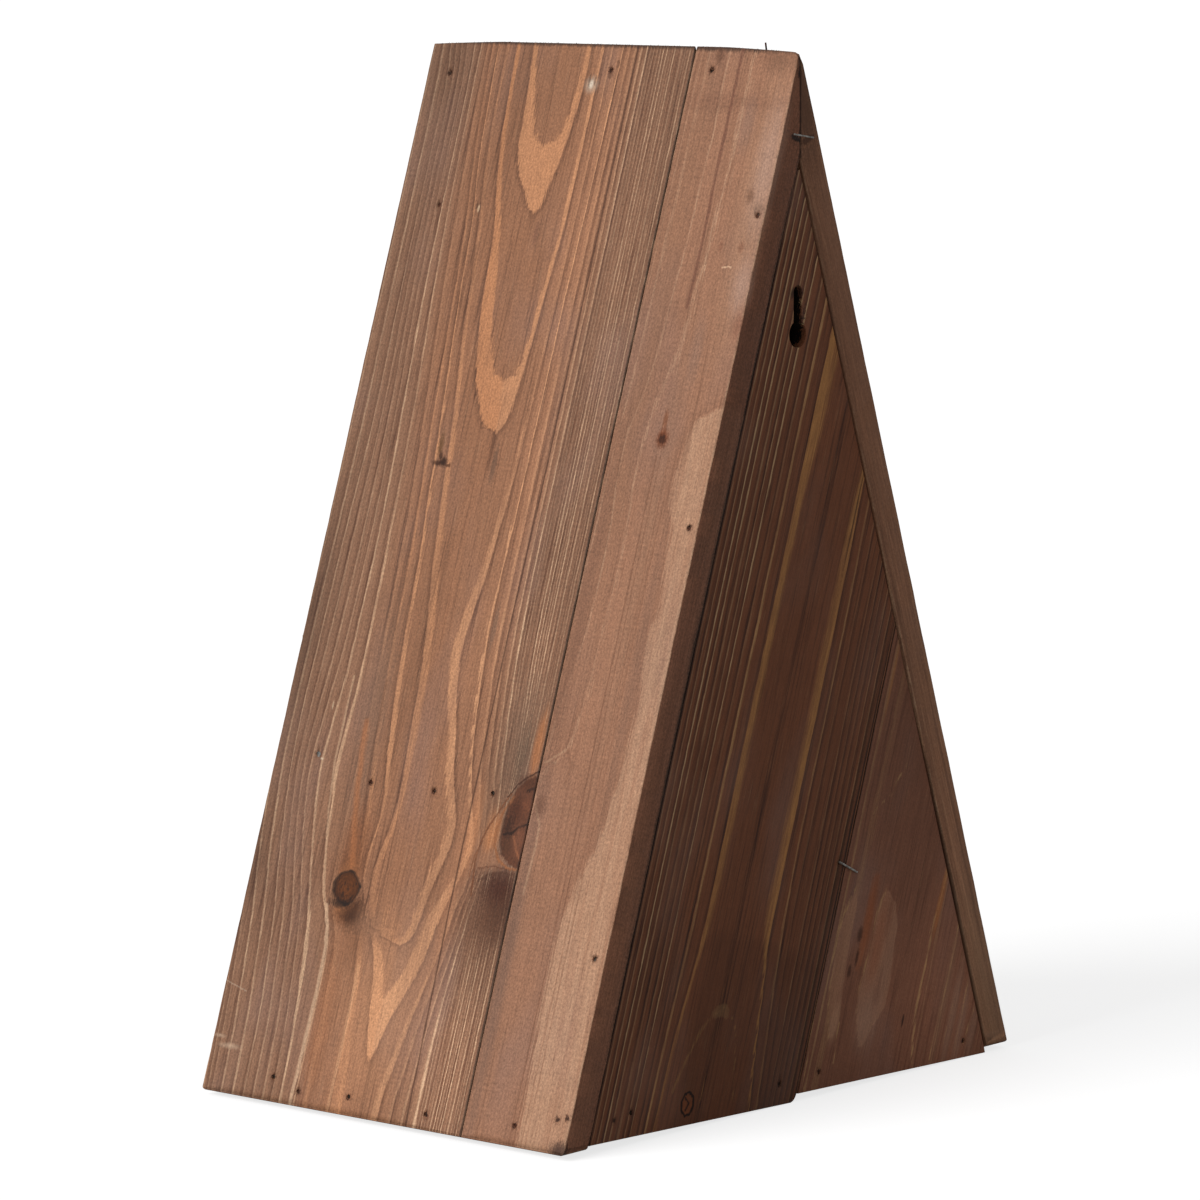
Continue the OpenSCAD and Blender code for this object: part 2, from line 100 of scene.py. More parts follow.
def ring_at(plan, u, v):
    """Ring number at each place: rings count up from the heart line towards both edges."""
    heart = through(plan["heart"], v)
    low = np.interp(v, *zip(*plan["peaks"]))
    places, values = [heart], [low]
    for side in ("left", "right"):
        sign = -1 if side == "left" else 1
        last = heart
        rows = []
        for ring, points in plan[side].items():
            at = through(points, v)
            ends = ((points[0], v < points[0][0]), (points[-1], v > points[-1][0]))
            for (along, across), beyond in ends:
                if abs(across - float(through(plan["heart"], np.array([along]))[0])) < 1.6:
                    at = np.where(beyond, heart, at)
            last = sign * np.maximum(sign * at, sign * last + 1e-4)
            rows.append((last, np.maximum(ring, low)))
        for at, value in rows:
            if side == "left":
                places.insert(0, at)
                values.insert(0, value)
            else:
                places.append(at)
                values.append(value)
    s = np.where(u < places[0], values[0] + (places[0] - u) / OUTER_RING_GAP, 0.0)
    s = np.where(u >= places[-1], values[-1] + (u - places[-1]) / OUTER_RING_GAP, s)
    for (p, a), (q, b) in zip(zip(places, values), zip(places[1:], values[1:])):
        inside = (u >= p) & (u < q)
        s = np.where(inside, a + (b - a) * (u - p) / np.maximum(q - p, 1e-6), s)
    return s


def straight(foot, rings):
    """Straight ring lines, each from its place at the top to its place at the foot."""
    return {ring: [(0, top), (foot, low)] for ring, (top, low) in rings.items()}


def even_plan(heart):
    """What the plans of boards with a straight heart line share."""
    return {"tilt": 0.0, "heart": [(0, heart), (424, heart)], "peaks": [(-10, 1), (430, 1)]}


def planned_grain(plan):
    """Grain drawn by lines: ring, gap and band share, with the bands' brightness and warmth."""

    def rings(across, v):
        s = ring_at(plan, across, v)
        return s + 0.75 * (hills(s, 1.6, 5) - 0.5) * np.clip((s - 9) / 2, 0, 1)

    def grain(u, v, w):
        lean = plan.get("tilt", 0.25)
        across = u + lean * w
        s = rings(across, v)
        du = rings(across + 0.3, v) - s
        dv = rings(across, v + 0.6) - s
        gap = 1 / np.maximum(np.hypot(du / 0.3, dv / 0.6), 1 / 60)
        left = across < through(plan["heart"], v)
        look = []
        for part in range(3):
            a, b = (
                np.interp(s, list(looks), [row[part] for row in looks.values()])
                for looks in (plan["left_look"], plan["right_look"])
            )
            look.append(np.where(left, a, b))
        share, bright, warm = look
        quiet = np.clip(1 + patches(*plan.get("quiet", ()))(u, v, w), 0, 2)
        return s, gap, share, bright * quiet, warm

    return grain


def sawn_grain(heart_u, heart_w, gap, seed, wander=9.0, rise=18.0):
    """Grain of a plain board: rings round a pith that wanders along it."""

    def grain(u, v, w):
        def ring(a, b, c):
            off_u = heart_u + wander * (hills(b, 150, seed) - 0.5)
            off_w = heart_w + rise * (hills(b, 210, seed + 1) - 0.5)
            return np.hypot(a - off_u, c + off_w) / gap + 0.6 * hills(b, 60, seed + 2)

        s = ring(u, v, w)
        steep = np.sqrt(
            ((ring(u + 0.3, v, w) - s) / 0.3) ** 2
            + ((ring(u, v + 0.6, w) - s) / 0.6) ** 2
            + ((ring(u, v, w + 0.3) - s) / 0.3) ** 2
        )
        return (
            s,
            1 / np.maximum(steep, 1 / 60),
            0.22 + 0.16 * hills(s, 1, seed + 3),
            0.3 + 0.6 * hills(s, 1, seed + 4),
            0.2 + 0.7 * hills(s, 2.5, seed + 5),
        )

    return grain


def patches(*rows):
    """Soft patches: each row is across, along, half widths and the change in brightness."""

    def shade(u, v, w):
        total = np.zeros_like(u)
        for u0, v0, ru, rv, amount in rows:
            total += amount * np.exp(-(((u - u0) / ru) ** 2) - ((v - v0) / rv) ** 2)
        return total

    return shade


def line_away(points, u, v):
    """Distance from a line through points."""
    best = np.full(u.shape, 1e3)
    for (u0, v0), (u1, v1) in zip(points, points[1:]):
        du, dv = u1 - u0, v1 - v0
        t = np.clip(((u - u0) * du + (v - v0) * dv) / (du * du + dv * dv), 0, 1)
        best = np.minimum(best, np.hypot(u - u0 - t * du, v - v0 - t * dv))
    return best


def depth_in(points, u, v):
    """Distance to an outline, positive inside it."""
    closed = points + points[:1]
    within = np.zeros(u.shape, bool)
    for (u0, v0), (u1, v1) in zip(closed, closed[1:]):
        crosses = (v0 > v) != (v1 > v)
        within ^= crosses & (u < u0 + (v - v0) * (u1 - u0) / ((v1 - v0) or 1e-9))
    return np.where(within, 1, -1) * line_away(closed, u, v)


def figures(areas=(), lines=(), patches=()):
    """Flames and lines set into the grain: areas, lines with half widths, and more areas."""

    def field(u, v, w):
        deep = np.full((3, len(u)), -30.0)
        for row, group in ((0, areas), (2, patches)):
            for points in group:
                deep[row] = np.maximum(deep[row], depth_in(points, u, v))
        for half, points in lines:
            deep[1] = np.maximum(deep[1], half - line_away(points, u, v))
        return deep

    return field


# Boards: a worn copy of each CAD board with its grain written on its points


class Place:
    """Board coordinates in millimetres: across u, along v and depth w below the face."""

    def __init__(self, origin, across, along, depth):
        self.origin = np.array(origin, float)
        self.axes = np.array([across, along, depth], float)

    def of(self, points):
        return (points / MM - self.origin) @ self.axes.T

    def plane(self, axis, value):
        return (self.origin + self.axes[axis] * value) * MM, self.axes[axis]


DOWN = (SIN, 0, -COS)
RIGHT_SIDE = Place((0, -DEPTH / 2, APEX_Z), (0, 1, 0), DOWN, (-COS, 0, -SIN))
LEFT_SIDE = Place((0, -DEPTH / 2, APEX_Z), (0, 1, 0), (-SIN, 0, -COS), (COS, 0, -SIN))
BACK = Place((-COS * SIDE_T, BACK_Y, APEX_Z - SIN * SIDE_T), (-COS, 0, -SIN), DOWN, (0, -1, 0))
FRONT = Place((-COS * SIDE_T, FRONT_FACE_Y, APEX_Z - SIN * SIDE_T), (-COS, 0, -SIN), DOWN, (0, 1, 0))


def level(z):
    """Boards that lie across, with their upper face at z."""
    return Place((-150, -DEPTH / 2, z), (0, 1, 0), (1, 0, 0), (0, 0, -1))


def made(name, bm):
    """The object of a finished bmesh."""
    mesh = bpy.data.meshes.new(name)
    bm.to_mesh(mesh)
    bm.free()
    obj = bpy.data.objects.new(name, mesh)
    bpy.context.scene.collection.objects.link(obj)
    return obj


def merged_copy(mesh):
    """A CAD node's mesh with its points merged, its flat faces whole and its arrises in few strips."""
    bm = bmesh.new()
    bm.from_mesh(mesh)
    bmesh.ops.remove_doubles(bm, verts=bm.verts[:], dist=1e-6)
    bm.normal_update()
    strip = math.radians(ARRIS_ANGLE)
    # an edge of one face alone has no angle and gets a large one, so that it stays
    no_angle = 9
    seams = [
        e for e in bm.edges
        if e.calc_face_angle(no_angle) < (strip if e.calc_length() > 3 * MM else FLAT_ANGLE)
    ]
    bmesh.ops.dissolve_limit(
        bm, angle_limit=strip, use_dissolve_boundaries=False, verts=[], edges=seams
    )
    return bm


def cut_faces(bm, faces, co, no):
    """Cuts some faces by a plane and gives the ones that come of them."""
    parts = set(faces)
    for face in faces:
        parts.update(face.edges)
        parts.update(face.verts)
    cut = bmesh.ops.bisect_plane(bm, geom=list(parts), dist=1e-6, plane_co=co, plane_no=no)
    return [f for f in cut["geom"] if isinstance(f, bmesh.types.BMFace)]


def slice_along(bm, place, axis, low, high, step):
    """Cuts a board into even strips, each cut only through what still lies ahead."""
    ahead = bm.faces[:]
    direction = Vector(place.axes[axis])
    base = Vector(place.origin * MM).dot(direction)
    for value in np.linspace(low, high, int((high - low) / step) + 1)[1:-1]:
        co, no = place.plane(axis, value)
        limit = base + (value + 1e-3) * MM
        ahead = [f for f in ahead if max(v.co.dot(direction) for v in f.verts) > limit]
        ahead = cut_faces(bm, ahead, co, no)


def refine(bm, place, box, step):
    """Cuts the face of one area of a board into finer cells."""
    u0, u1, v0, v1 = box
    spots = place.of(np.array([f.calc_center_median() for f in bm.faces]))
    inside = (spots[:, 0] > u0) & (spots[:, 0] < u1) & (spots[:, 1] > v0) & (spots[:, 1] < v1)
    near = [f for f, good in zip(list(bm.faces), inside & (spots[:, 2] < 1.5)) if good]
    for axis, low, high in ((1, v0, v1), (0, u0, u1)):
        for value in np.arange(low + step, high, step):
            near = cut_faces(bm, near, *place.plane(axis, value))


def worn(points, low, high, wear, blunt, seed):
    """How far each point of a board moves, in board coordinates, so that its arrises turn uneven."""
    u, v, w = points.T
    move = np.zeros((len(u), 3))
    for axis, coord in ((0, u), (2, w)):
        other = w if axis == 0 else u
        for end, sign, more, most in ((low[axis], 1, 0, wear[0]), (high[axis], -1, 7, wear[1])):
            near = np.clip(1 - np.abs(coord - end) / WEAR_REACH, 0, 1)
            dent = hills(v + 3 * other, 2.7, seed + more) * 0.4 + hills(v, 11, seed + more + 1) * 0.6
            move[:, axis] += sign * near * dent * most * (1 if axis == 0 else FACE_WEAR)
    if blunt:
        # the upper corner at the far edge, rounded off by this radius
        top = v[u > high[0] - 0.3].min()
        du, dv = blunt - (high[0] - u), blunt - (v - top)
        pull = 1 - blunt / np.maximum(np.hypot(du, dv), blunt)
        pull = np.where((du > 0) & (dv > 0) & (w < 3), pull, 0)
        move[:, 0] -= du * pull
        move[:, 1] += dv * pull
    return move


def board(name, node, body, slot, place, step, grain, finish, shade=patches(), inlay=figures(),
          wear=(0.25, 0.25), seed=1, finer=(), blunt=None):
    """A worn copy of a CAD board: finely cut, its arrises uneven, its grain on its points."""
    bm = merged_copy(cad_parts[node].data)
    spots = place.of(np.array([v.co for v in bm.verts]))
    low, high = spots.min(0), spots.max(0)
    for axis in (1, 0):
        slice_along(bm, place, axis, low[axis], high[axis], step[axis])
    for box, cell in finer:
        refine(bm, place, box, cell)
    points = np.array([v.co for v in bm.verts])
    spots = place.of(points)
    u, v, w = spots.T
    points = points + MM * (worn(spots, low, high, wear, blunt, seed) @ place.axes)
    for vert, co in zip(bm.verts, points):
        vert.co = co
    obj = made(name, bm)
    mesh = obj.data
    mesh.shade_smooth()
    mesh.set_sharp_from_angle(angle=math.radians(SHARP_ANGLE))
    s, gap, share, bright, warm = grain(u, v, w)
    write(mesh, "place", (u, v, w))
    write(mesh, "grain", (s, gap, share))
    write(mesh, "tint", (bright, warm, shade(u, v, w)))
    write(mesh, "inlay", inlay(u, v, w))
    normals = np.zeros(len(mesh.polygons) * 3)
    mesh.polygons.foreach_get("normal", normals)
    facing = np.abs(normals.reshape(-1, 3) @ place.axes.T)
    side = mesh.attributes.new("cut", "FLOAT_VECTOR", "FACE")
    side.data.foreach_set("vector", facing.ravel())
    paint(mesh, place, finish)
    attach(obj, body)
    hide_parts(node)


def paint(mesh, place, finish):
    """One material, or a list of them, each with its area of the board as (u0, u1, v0, v1)."""
    if not isinstance(finish, list):
        mesh.materials.append(finish)
        return
    middle = np.zeros(len(mesh.polygons) * 3)
    mesh.polygons.foreach_get("center", middle)
    u, v, w = place.of(middle.reshape(-1, 3)).T
    which = np.zeros(len(u), np.int32)
    for number, ((u0, u1, v0, v1), material) in enumerate(finish):
        mesh.materials.append(material)
        which[(u >= u0) & (u < u1) & (v >= v0) & (v < v1)] = number
    mesh.polygons.foreach_set("material_index", which)


def write(mesh, name, columns):
    layer = mesh.attributes.new(name, "FLOAT_VECTOR", "POINT")
    layer.data.foreach_set("vector", np.stack(columns, 1).astype(float).ravel())


# Finishes


def rgb(code):
    """Linear colour of a hexadecimal display colour."""
    parts = [int(code[i : i + 2], 16) / 255 for i in (1, 3, 5)]
    return tuple(c / 12.92 if c <= 0.04045 else ((c + 0.055) / 1.055) ** 2.4 for c in parts)


class Finish:
    """Builds one finish out of shader nodes."""

    def __init__(self, name):
        self.material = bpy.data.materials.new(name)
        self.material.use_nodes = True
        self.tree = self.material.node_tree
        self.tree.nodes.clear()
        self.shader = self.tree.nodes.new("ShaderNodeBsdfPrincipled")
        self.shader.inputs["Specular IOR Level"].default_value = 0.25
        output = self.tree.nodes.new("ShaderNodeOutputMaterial")
        self.tree.links.new(self.shader.outputs[0], output.inputs[0])

    def put(self, socket, value):
        if isinstance(value, bpy.types.NodeSocket):
            self.tree.links.new(value, socket)
        elif socket.type == "RGBA":
            socket.default_value = (*value, 1.0)
        else:
            socket.default_value = value

    def attribute(self, name):
        node = self.tree.nodes.new("ShaderNodeAttribute")
        node.attribute_name = name
        return node.outputs["Vector"]

    def parts(self, vector):
        node = self.tree.nodes.new("ShaderNodeSeparateXYZ")
        self.put(node.inputs[0], vector)
        return node.outputs[0], node.outputs[1], node.outputs[2]

    def math(self, kind, *values, clamp=False):
        node = self.tree.nodes.new("ShaderNodeMath")
        node.operation = kind
        node.use_clamp = clamp
        for socket, value in zip(node.inputs, values):
            self.put(socket, value)
        return node.outputs[0]

    def add(self, a, b):
        return self.math("ADD", a, b)

    def times(self, a, b):
        return self.math("MULTIPLY", a, b)

    def minus(self, a, b):
        return self.math("SUBTRACT", a, b)

    def muladd(self, a, b, c):
        """a times b, plus c."""
        return self.math("MULTIPLY_ADD", a, b, c)

    def least(self, values):
        smallest = None
        for value in values:
            smallest = value if smallest is None else self.math("MINIMUM", smallest, value)
        return smallest

    def swing(self, value, amount):
        """A 0 to 1 value turned into a factor round 1."""
        return self.muladd(value, 2 * amount, 1 - amount)

    def ease(self, value, low, high, start=0.0, end=1.0, kind="SMOOTHSTEP"):
        node = self.tree.nodes.new("ShaderNodeMapRange")
        node.interpolation_type = kind
        for socket, v in zip(node.inputs, (value, low, high, start, end)):
            self.put(socket, v)
        return node.outputs[0]

    def vector_math(self, kind, *values):
        node = self.tree.nodes.new("ShaderNodeVectorMath")
        node.operation = kind
        for socket, value in zip(node.inputs, values):
            self.put(socket, value)
        return node

    def scaled(self, vector, factors, shift=(0.0, 0.0, 0.0)):
        return self.vector_math("MULTIPLY_ADD", vector, factors, shift).outputs["Vector"]

    def measured(self, kind, *vectors):
        """A length, distance or dot product."""
        return self.vector_math(kind, *vectors).outputs["Value"]

    def noise(self, vector, factors, detail=2.0, rough=0.5, shift=(0.0, 0.0, 0.0)):
        node = self.tree.nodes.new("ShaderNodeTexNoise")
        self.put(node.inputs["Vector"], self.scaled(vector, factors, shift))
        node.inputs["Scale"].default_value = 1.0
        node.inputs["Detail"].default_value = detail
        node.inputs["Roughness"].default_value = rough
        return node.outputs[0]

    def lot(self, number):
        """One random value from 0 to 1 for each number."""
        node = self.tree.nodes.new("ShaderNodeTexWhiteNoise")
        node.noise_dimensions = "1D"
        self.put(node.inputs["W"], number)
        return node.outputs["Value"]

    def blend(self, share, a, b):
        """Mixes two colours; as vectors, so that a long chain stays within the shader's memory."""
        node = self.tree.nodes.new("ShaderNodeMix")
        node.data_type = "VECTOR"
        for socket, value in zip((node.inputs[0], node.inputs[4], node.inputs[5]), (share, a, b)):
            self.put(socket, value)
        return node.outputs[1]

    def brighten(self, colour, factor):
        node = self.vector_math("SCALE", colour)
        self.put(node.inputs["Scale"], factor)
        return node.outputs["Vector"]

    def finish(self, colour, rough, height=None, depth=0.1):
        self.put(self.shader.inputs["Base Color"], colour)
        self.put(self.shader.inputs["Roughness"], rough)
        if height is not None:
            bump = self.tree.nodes.new("ShaderNodeBump")
            bump.inputs["Strength"].default_value = 1.0
            bump.inputs["Distance"].default_value = depth * MM
            self.put(bump.inputs["Height"], height)
            self.put(self.shader.inputs["Normal"], bump.outputs[0])
        return self.material


def wood(name, mid, deep, cream, amber, edge=None, late=2.4, late_mix=0.4, fibre=0.2, speck=0.26,
         ripple=0.05, cloud=0.13, cool=0.35, vary=0.3, feather=1.0, arris=0.5, brads=(), under=(),
         spots=(), strokes=(), knots=(), inlays=(), grey=None, mitre=None, crisp=0.6, fading=9.0):
    """Stained softwood. Bands are the pale late wood just inside each ring's outer edge.

    Marks (under, spots), strokes and knots are in board coordinates, inlays name a row of the
    board's figures, mitre is the plane of a dark joint, and the other values are strengths.
    """
    f = Finish(name)
    place, grain, tint = (f.attribute(n) for n in ("place", "grain", "tint"))
    s, gap, share = f.parts(grain)
    bright, warm, dim = f.parts(tint)
    facing = f.parts(f.attribute("cut"))
    # noises drawn out along the grain, then one that lies across it and one in wide clouds
    wobble = f.noise(place, (0.9, 0.16, 0.9), 2.0)
    hair = f.noise(place, (1.7, 0.045, 1.7), 3.0, 0.65)
    streak = f.noise(place, (0.8, 0.016, 0.8), 4.0, 0.68, (3.0, 8.0, 1.0))
    fine = f.noise(place, (2.6, 0.13, 2.6), 3.0, 0.7)
    fleck = f.noise(place, (1.1, 0.1, 1.1), 3.0, 0.7, (4.0, 6.0, 2.0))
    grit = f.noise(place, (1.3, 0.9, 1.3), 3.0, 0.75, (9.0, 2.0, 5.0))
    across = f.noise(place, (0.07, 0.55, 0.07), 2.0, 0.6)
    drift = f.noise(place, (0.045, 0.011, 0.05), 3.0)
    # ring edges wander a little, and fray along the grain where the rings lie far apart
    reach = f.muladd(gap, 0.2 * feather, 0.1 * feather)
    stray = f.muladd(f.minus(hair, 0.5), reach, f.swing(wobble, 0.35))
    ring = f.add(s, f.math("DIVIDE", f.minus(stray, 1.0), gap))
    number = f.math("FLOOR", ring)
    thick, light = f.lot(number), f.lot(f.add(number, 0.37))
    phase = f.math("FRACT", ring)
    # the pale band inside each ring's outer edge; narrow rings differ more from one another
    to_edge = f.times(f.minus(1.0, phase), gap)
    lively = f.ease(gap, 3.5, 7.0, 1.0, 0.0)
    uneven = f.muladd(f.minus(thick, 0.5), f.times(lively, 1.1), 1.0)
    wide = f.times(f.times(share, gap), uneven)
    soft = f.math("MINIMUM", f.muladd(wide, 0.5, 0.1), fading)
    outer = f.math("MINIMUM", f.times(wide, 0.45), crisp)
    band = f.times(
        f.ease(f.math("DIVIDE", to_edge, outer), 0.0, 1.0),
        f.ease(f.math("DIVIDE", f.minus(wide, to_edge), soft), 0.0, 1.0),
    )
    length = f.noise(place, (0.3, 0.012, 0.3), 2.0, 0.5, (7.1, 3.3, 0.4))
    fade = f.ease(length, 0.28, 0.6, 0.5, 1.1)
    spread = f.muladd(lively, 0.6, vary)
    pale = f.muladd(f.minus(light, 0.5), f.times(spread, 2.0), 1.0)
    band = f.times(f.times(band, bright), f.times(fade, pale))
    band = f.times(band, f.times(f.swing(hair, 0.7), f.swing(fleck, 0.5)))
    # the darker wood that follows each ring, then streaks, hairs and a cool stain
    after = f.ease(f.times(phase, gap), 0.0, late, late_mix, 0.0)
    dark = f.add(after, f.ease(streak, 0.46, 0.74, 0.0, 0.75))
    dark = f.math("ADD", dark, f.ease(fine, 0.56, 0.78, 0.0, 0.55), clamp=True)
    base = f.blend(warm, grey, mid) if grey else mid
    colour = f.blend(dark, base, deep)
    colour = f.blend(f.ease(hair, 0.56, 0.8, 0.0, 0.3), colour, cream)
    cold = f.noise(place, (0.03, 0.012, 0.03), 2.0, 0.5, (2.0, 5.0, 7.0))
    stain = f.ease(cold, 0.48, 0.72, 0.0, cool)
    colour = f.blend(stain, colour, f.brighten(rgb("#84675c"), f.swing(streak, 0.3)))
    colour = f.blend(f.math("MULTIPLY", band, 1.0, clamp=True), colour, f.blend(warm, cream, amber))
    if edge:
        edge_mask = f.ease(facing[0], 0.6, 0.95, 0.0, 0.85)
        lined = f.times(f.swing(streak, 0.6), f.swing(hair, 0.3))
        colour = f.blend(edge_mask, colour, f.brighten(edge, lined))
    bevel = f.ease(f.times(facing[0], facing[2]), 0.1, 0.42)
    rubbed = f.times(bevel, f.ease(wobble, 0.4, 0.62, 0.1, arris))
    colour = f.blend(rubbed, colour, cream)
    end_grain = f.ease(facing[1], 0.93, 0.995, 0.0, 0.75)
    colour = f.blend(end_grain, colour, f.brighten(deep, f.times(f.swing(fine, 0.6), 0.55)))
    # every mark has one plain colour and a slightly shaken place; the wood's tone goes over them all
    shake = f.brighten((0.3, 1.5, 0.0), f.minus(wobble, 0.5))
    shaken = f.scaled(shake, (1.0, 1.0, 1.0), place)
    colour = add_marks(f, shaken, colour, hair, grit, under)
    for row, inlay_colour, strength in inlays:
        field = f.parts(f.attribute("inlay"))[row]
        fray = f.muladd(wobble, 1.6, f.muladd(hair, 2.4, -2.0))
        ragged = f.add(field, fray)
        colour = f.blend(f.times(f.ease(ragged, -0.1, 0.8), strength), colour, inlay_colour)
    for knot in knots:
        colour = add_knot(f, place, colour, fine, *knot)
    for points, half, stroke_colour, strength, blur in strokes:
        colour = add_stroke(
            f, shaken, colour, wobble, hair, points, half, stroke_colour, strength, blur
        )
    colour = add_marks(f, shaken, colour, hair, grit, spots)
    if brads:
        colour = rust_round(f, shaken, colour, grit, brads)
    if mitre:
        beside = f.measured("DOT_PRODUCT", place, mitre)
        crack = f.ease(f.muladd(wobble, 0.6, beside), 0.5, 1.2, 0.85, 0.0)
        colour = f.blend(f.times(crack, f.ease(facing[0], 0.6, 0.95)), colour, rgb("#1d100a"))
    tone = f.times(f.times(f.swing(fine, fibre), f.swing(fleck, 0.3)), f.swing(across, ripple))
    tone = f.times(f.times(tone, f.swing(drift, cloud)), f.swing(grit, speck))
    colour = f.brighten(colour, f.times(tone, f.add(dim, 1.0)))
    height = f.add(f.times(band, 0.35), f.add(f.times(fine, 0.9), f.times(hair, 0.9)))
    shine = f.muladd(fine, 0.2, 0.6)
    return f.finish(colour, shine, height, WOOD_RELIEF)


def wood_by_area(name, areas, *colours, **parts):
    """The same wood for each area of a board, with only the marks that reach into it."""
    finishes = []
    for number, (u0, u1, v0, v1) in enumerate(areas, 1):

        def reached(points, ru, rv):
            u, v = zip(*points)
            return u0 - ru < max(u) and min(u) < u1 + ru and v0 - rv < max(v) and min(v) < v1 + rv

        own = dict(parts)
        for key in ("under", "spots"):
            own[key] = [m for m in parts[key] if reached([m[0][:2]], 2.2 * m[1][0], 2.2 * m[1][1])]
        own["strokes"] = [s for s in parts["strokes"] if reached(s[0], 2.5, 2.5)]
        own["knots"] = [k for k in parts["knots"] if reached([k[:2]], 3 * k[2], 4 * k[3])]
        own["brads"] = [b for b in parts["brads"] if reached([b], 4, 4)]
        finishes.append(((u0, u1, v0, v1), wood(f"{name} {number}", *colours, **own)))
    return finishes


def add_marks(f, place, colour, hair, grit, marks):
    """Soft oval marks, frayed along the grain."""
    for where, size, mark_colour, strength, blur in marks:
        away = f.measured(
            "LENGTH", f.scaled(place, [1 / r for r in size], [-c / r for c, r in zip(where, size)])
        )
        fray = 0.6 + 1.3 * blur
        shift = f.muladd(grit, 0.8, -0.4 - fray / 2)
        away = f.add(away, f.muladd(hair, fray, shift))
        mask = f.ease(away, 1.0 - blur, 1.0 + blur, strength, 0.0)
        colour = f.blend(mask, colour, rgb(mark_colour))
    return colour


def add_stroke(f, place, colour, wobble, hair, points, half, stroke_colour, strength, blur):
    """A line drawn through points on the face."""
    flat = f.scaled(place, (1.0, 1.0, 0.4))

    def away_from(near, far):
        along = Vector((far[0] - near[0], far[1] - near[1], 0.0))
        start = f.scaled(flat, (1.0, 1.0, 1.0), (-near[0], -near[1], 0.0))
        share = f.measured("DOT_PRODUCT", start, tuple(along / along.length_squared))
        foot = f.brighten(tuple(along), f.math("MULTIPLY", share, 1.0, clamp=True))
        return f.measured("DISTANCE", start, foot)

    fray = 1.3 * half
    inward = f.minus(f.least(map(away_from, points, points[1:])), fray)
    ragged = f.muladd(f.add(wobble, hair), fray, inward)
    mask = f.ease(ragged, half * (1 - blur), half * (1 + blur), strength, 0.0)
    return f.blend(mask, colour, rgb(stroke_colour))


def add_knot(f, place, colour, fine, u0, v0, ru, rv, core, ring, halo, reach):
    """A knot: a thin dark ring round a cracked core, with a warm halo drawn out along the grain."""
    warp = f.noise(place, (0.2, 0.17, 0.2), 1.5, 0.5, (u0, v0, 0.0))
    away = f.measured("LENGTH", f.scaled(place, (1 / ru, 1 / rv, 0.02), (-u0 / ru, -v0 / rv, 0.0)))
    away = f.add(away, f.muladd(warp, 0.5, -0.25))
    drawn_out = f.scaled(place, (1.2 / ru, 0.55 / rv, 0.02), (-1.2 * u0 / ru, -0.55 * v0 / rv, 0.0))
    stretched = f.measured("LENGTH", drawn_out)
    stretched = f.add(stretched, f.muladd(fine, 0.5, -0.25))
    colour = f.blend(f.ease(stretched, 0.6, reach, 0.7, 0.0), colour, rgb(halo))
    heart = f.blend(f.ease(away, 0.0, 0.95, 1.0, 0.6), rgb(ring), rgb(core))
    rings = f.math("SINE", f.add(f.times(away, 24.0), f.times(warp, 9.0)))
    inner = f.brighten(heart, f.muladd(rings, 0.13, 1.1))
    cracks = f.ease(f.noise(place, (0.9, 0.28, 0.5), 2.0, 0.6, (v0, u0, 0.0)), 0.55, 0.66, 0.0, 0.7)
    inner = f.blend(cracks, inner, rgb(ring))
    colour = f.blend(f.ease(away, 0.93, 1.0, 1.0, 0.0), colour, inner)
    edge = f.times(f.ease(away, 0.84, 0.95), f.ease(away, 1.0, 1.1, 1.0, 0.0))
    return f.blend(f.times(edge, f.ease(warp, 0.3, 0.6, 0.95, 0.6)), colour, rgb(ring))


def rust_round(f, place, colour, grit, brads):
    """Rusty stain round the brads, given as (across, along)."""
    nearest = f.least(f.measured("DISTANCE", place, (*brad, 0.0)) for brad in brads)
    ragged = f.muladd(grit, 3.0, f.minus(nearest, 1.5))
    colour = f.blend(f.ease(ragged, 0.7, 2.3, 0.55, 0.0), colour, rgb("#5a3320"))
    return f.blend(f.ease(ragged, 0.5, 1.3, 0.9, 0.0), colour, rgb("#32190e"))


# The right side's wide board: its ring lines, as (along, across) from its top in millimetres
V1_LEFT = [(0, 52), (10, 53), (25, 54.5), (40, 55), (46, 56), (56, 60), (60, 63), (68, 68), (70, 70.5)]
V1_LEFT_IN = [(0, 54), (10, 56), (22, 58.5), (32, 60.5), (38, 62.7), (42, 67.5)]
V1_RIGHT = [(0, 82), (10, 82.3), (30, 81), (45, 79), (57, 76), (66, 74), (70, 71)]
V1_RIGHT_IN = [(0, 79.5), (15, 79), (30, 77.5), (37, 75), (41.5, 71), (42, 68)]
V2_LEFT = [
    (0, 43.5), (25, 45), (45, 46.7), (62, 49.7), (75, 52.5), (90, 53.5), (110, 55), (125, 57.5),
    (138, 60.5), (148, 65), (155, 70), (157, 76),
]
V2_LEFT_IN = [
    (0, 46), (30, 47.5), (50, 50), (65, 53), (80, 57), (95, 59.5), (105, 61), (120, 64), (132, 68),
    (136, 74),
]
V2_RIGHT = [
    (0, 88.5), (50, 88.3), (80, 87.3), (100, 85.7), (115, 84.7), (130, 83.3), (145, 82), (153, 79.5),
    (157, 76.5),
]
V2_RIGHT_IN = [
    (0, 86.5), (50, 86.3), (80, 85.5), (95, 84), (115, 82.7), (128, 80.8), (135, 78), (136, 74.5),
]
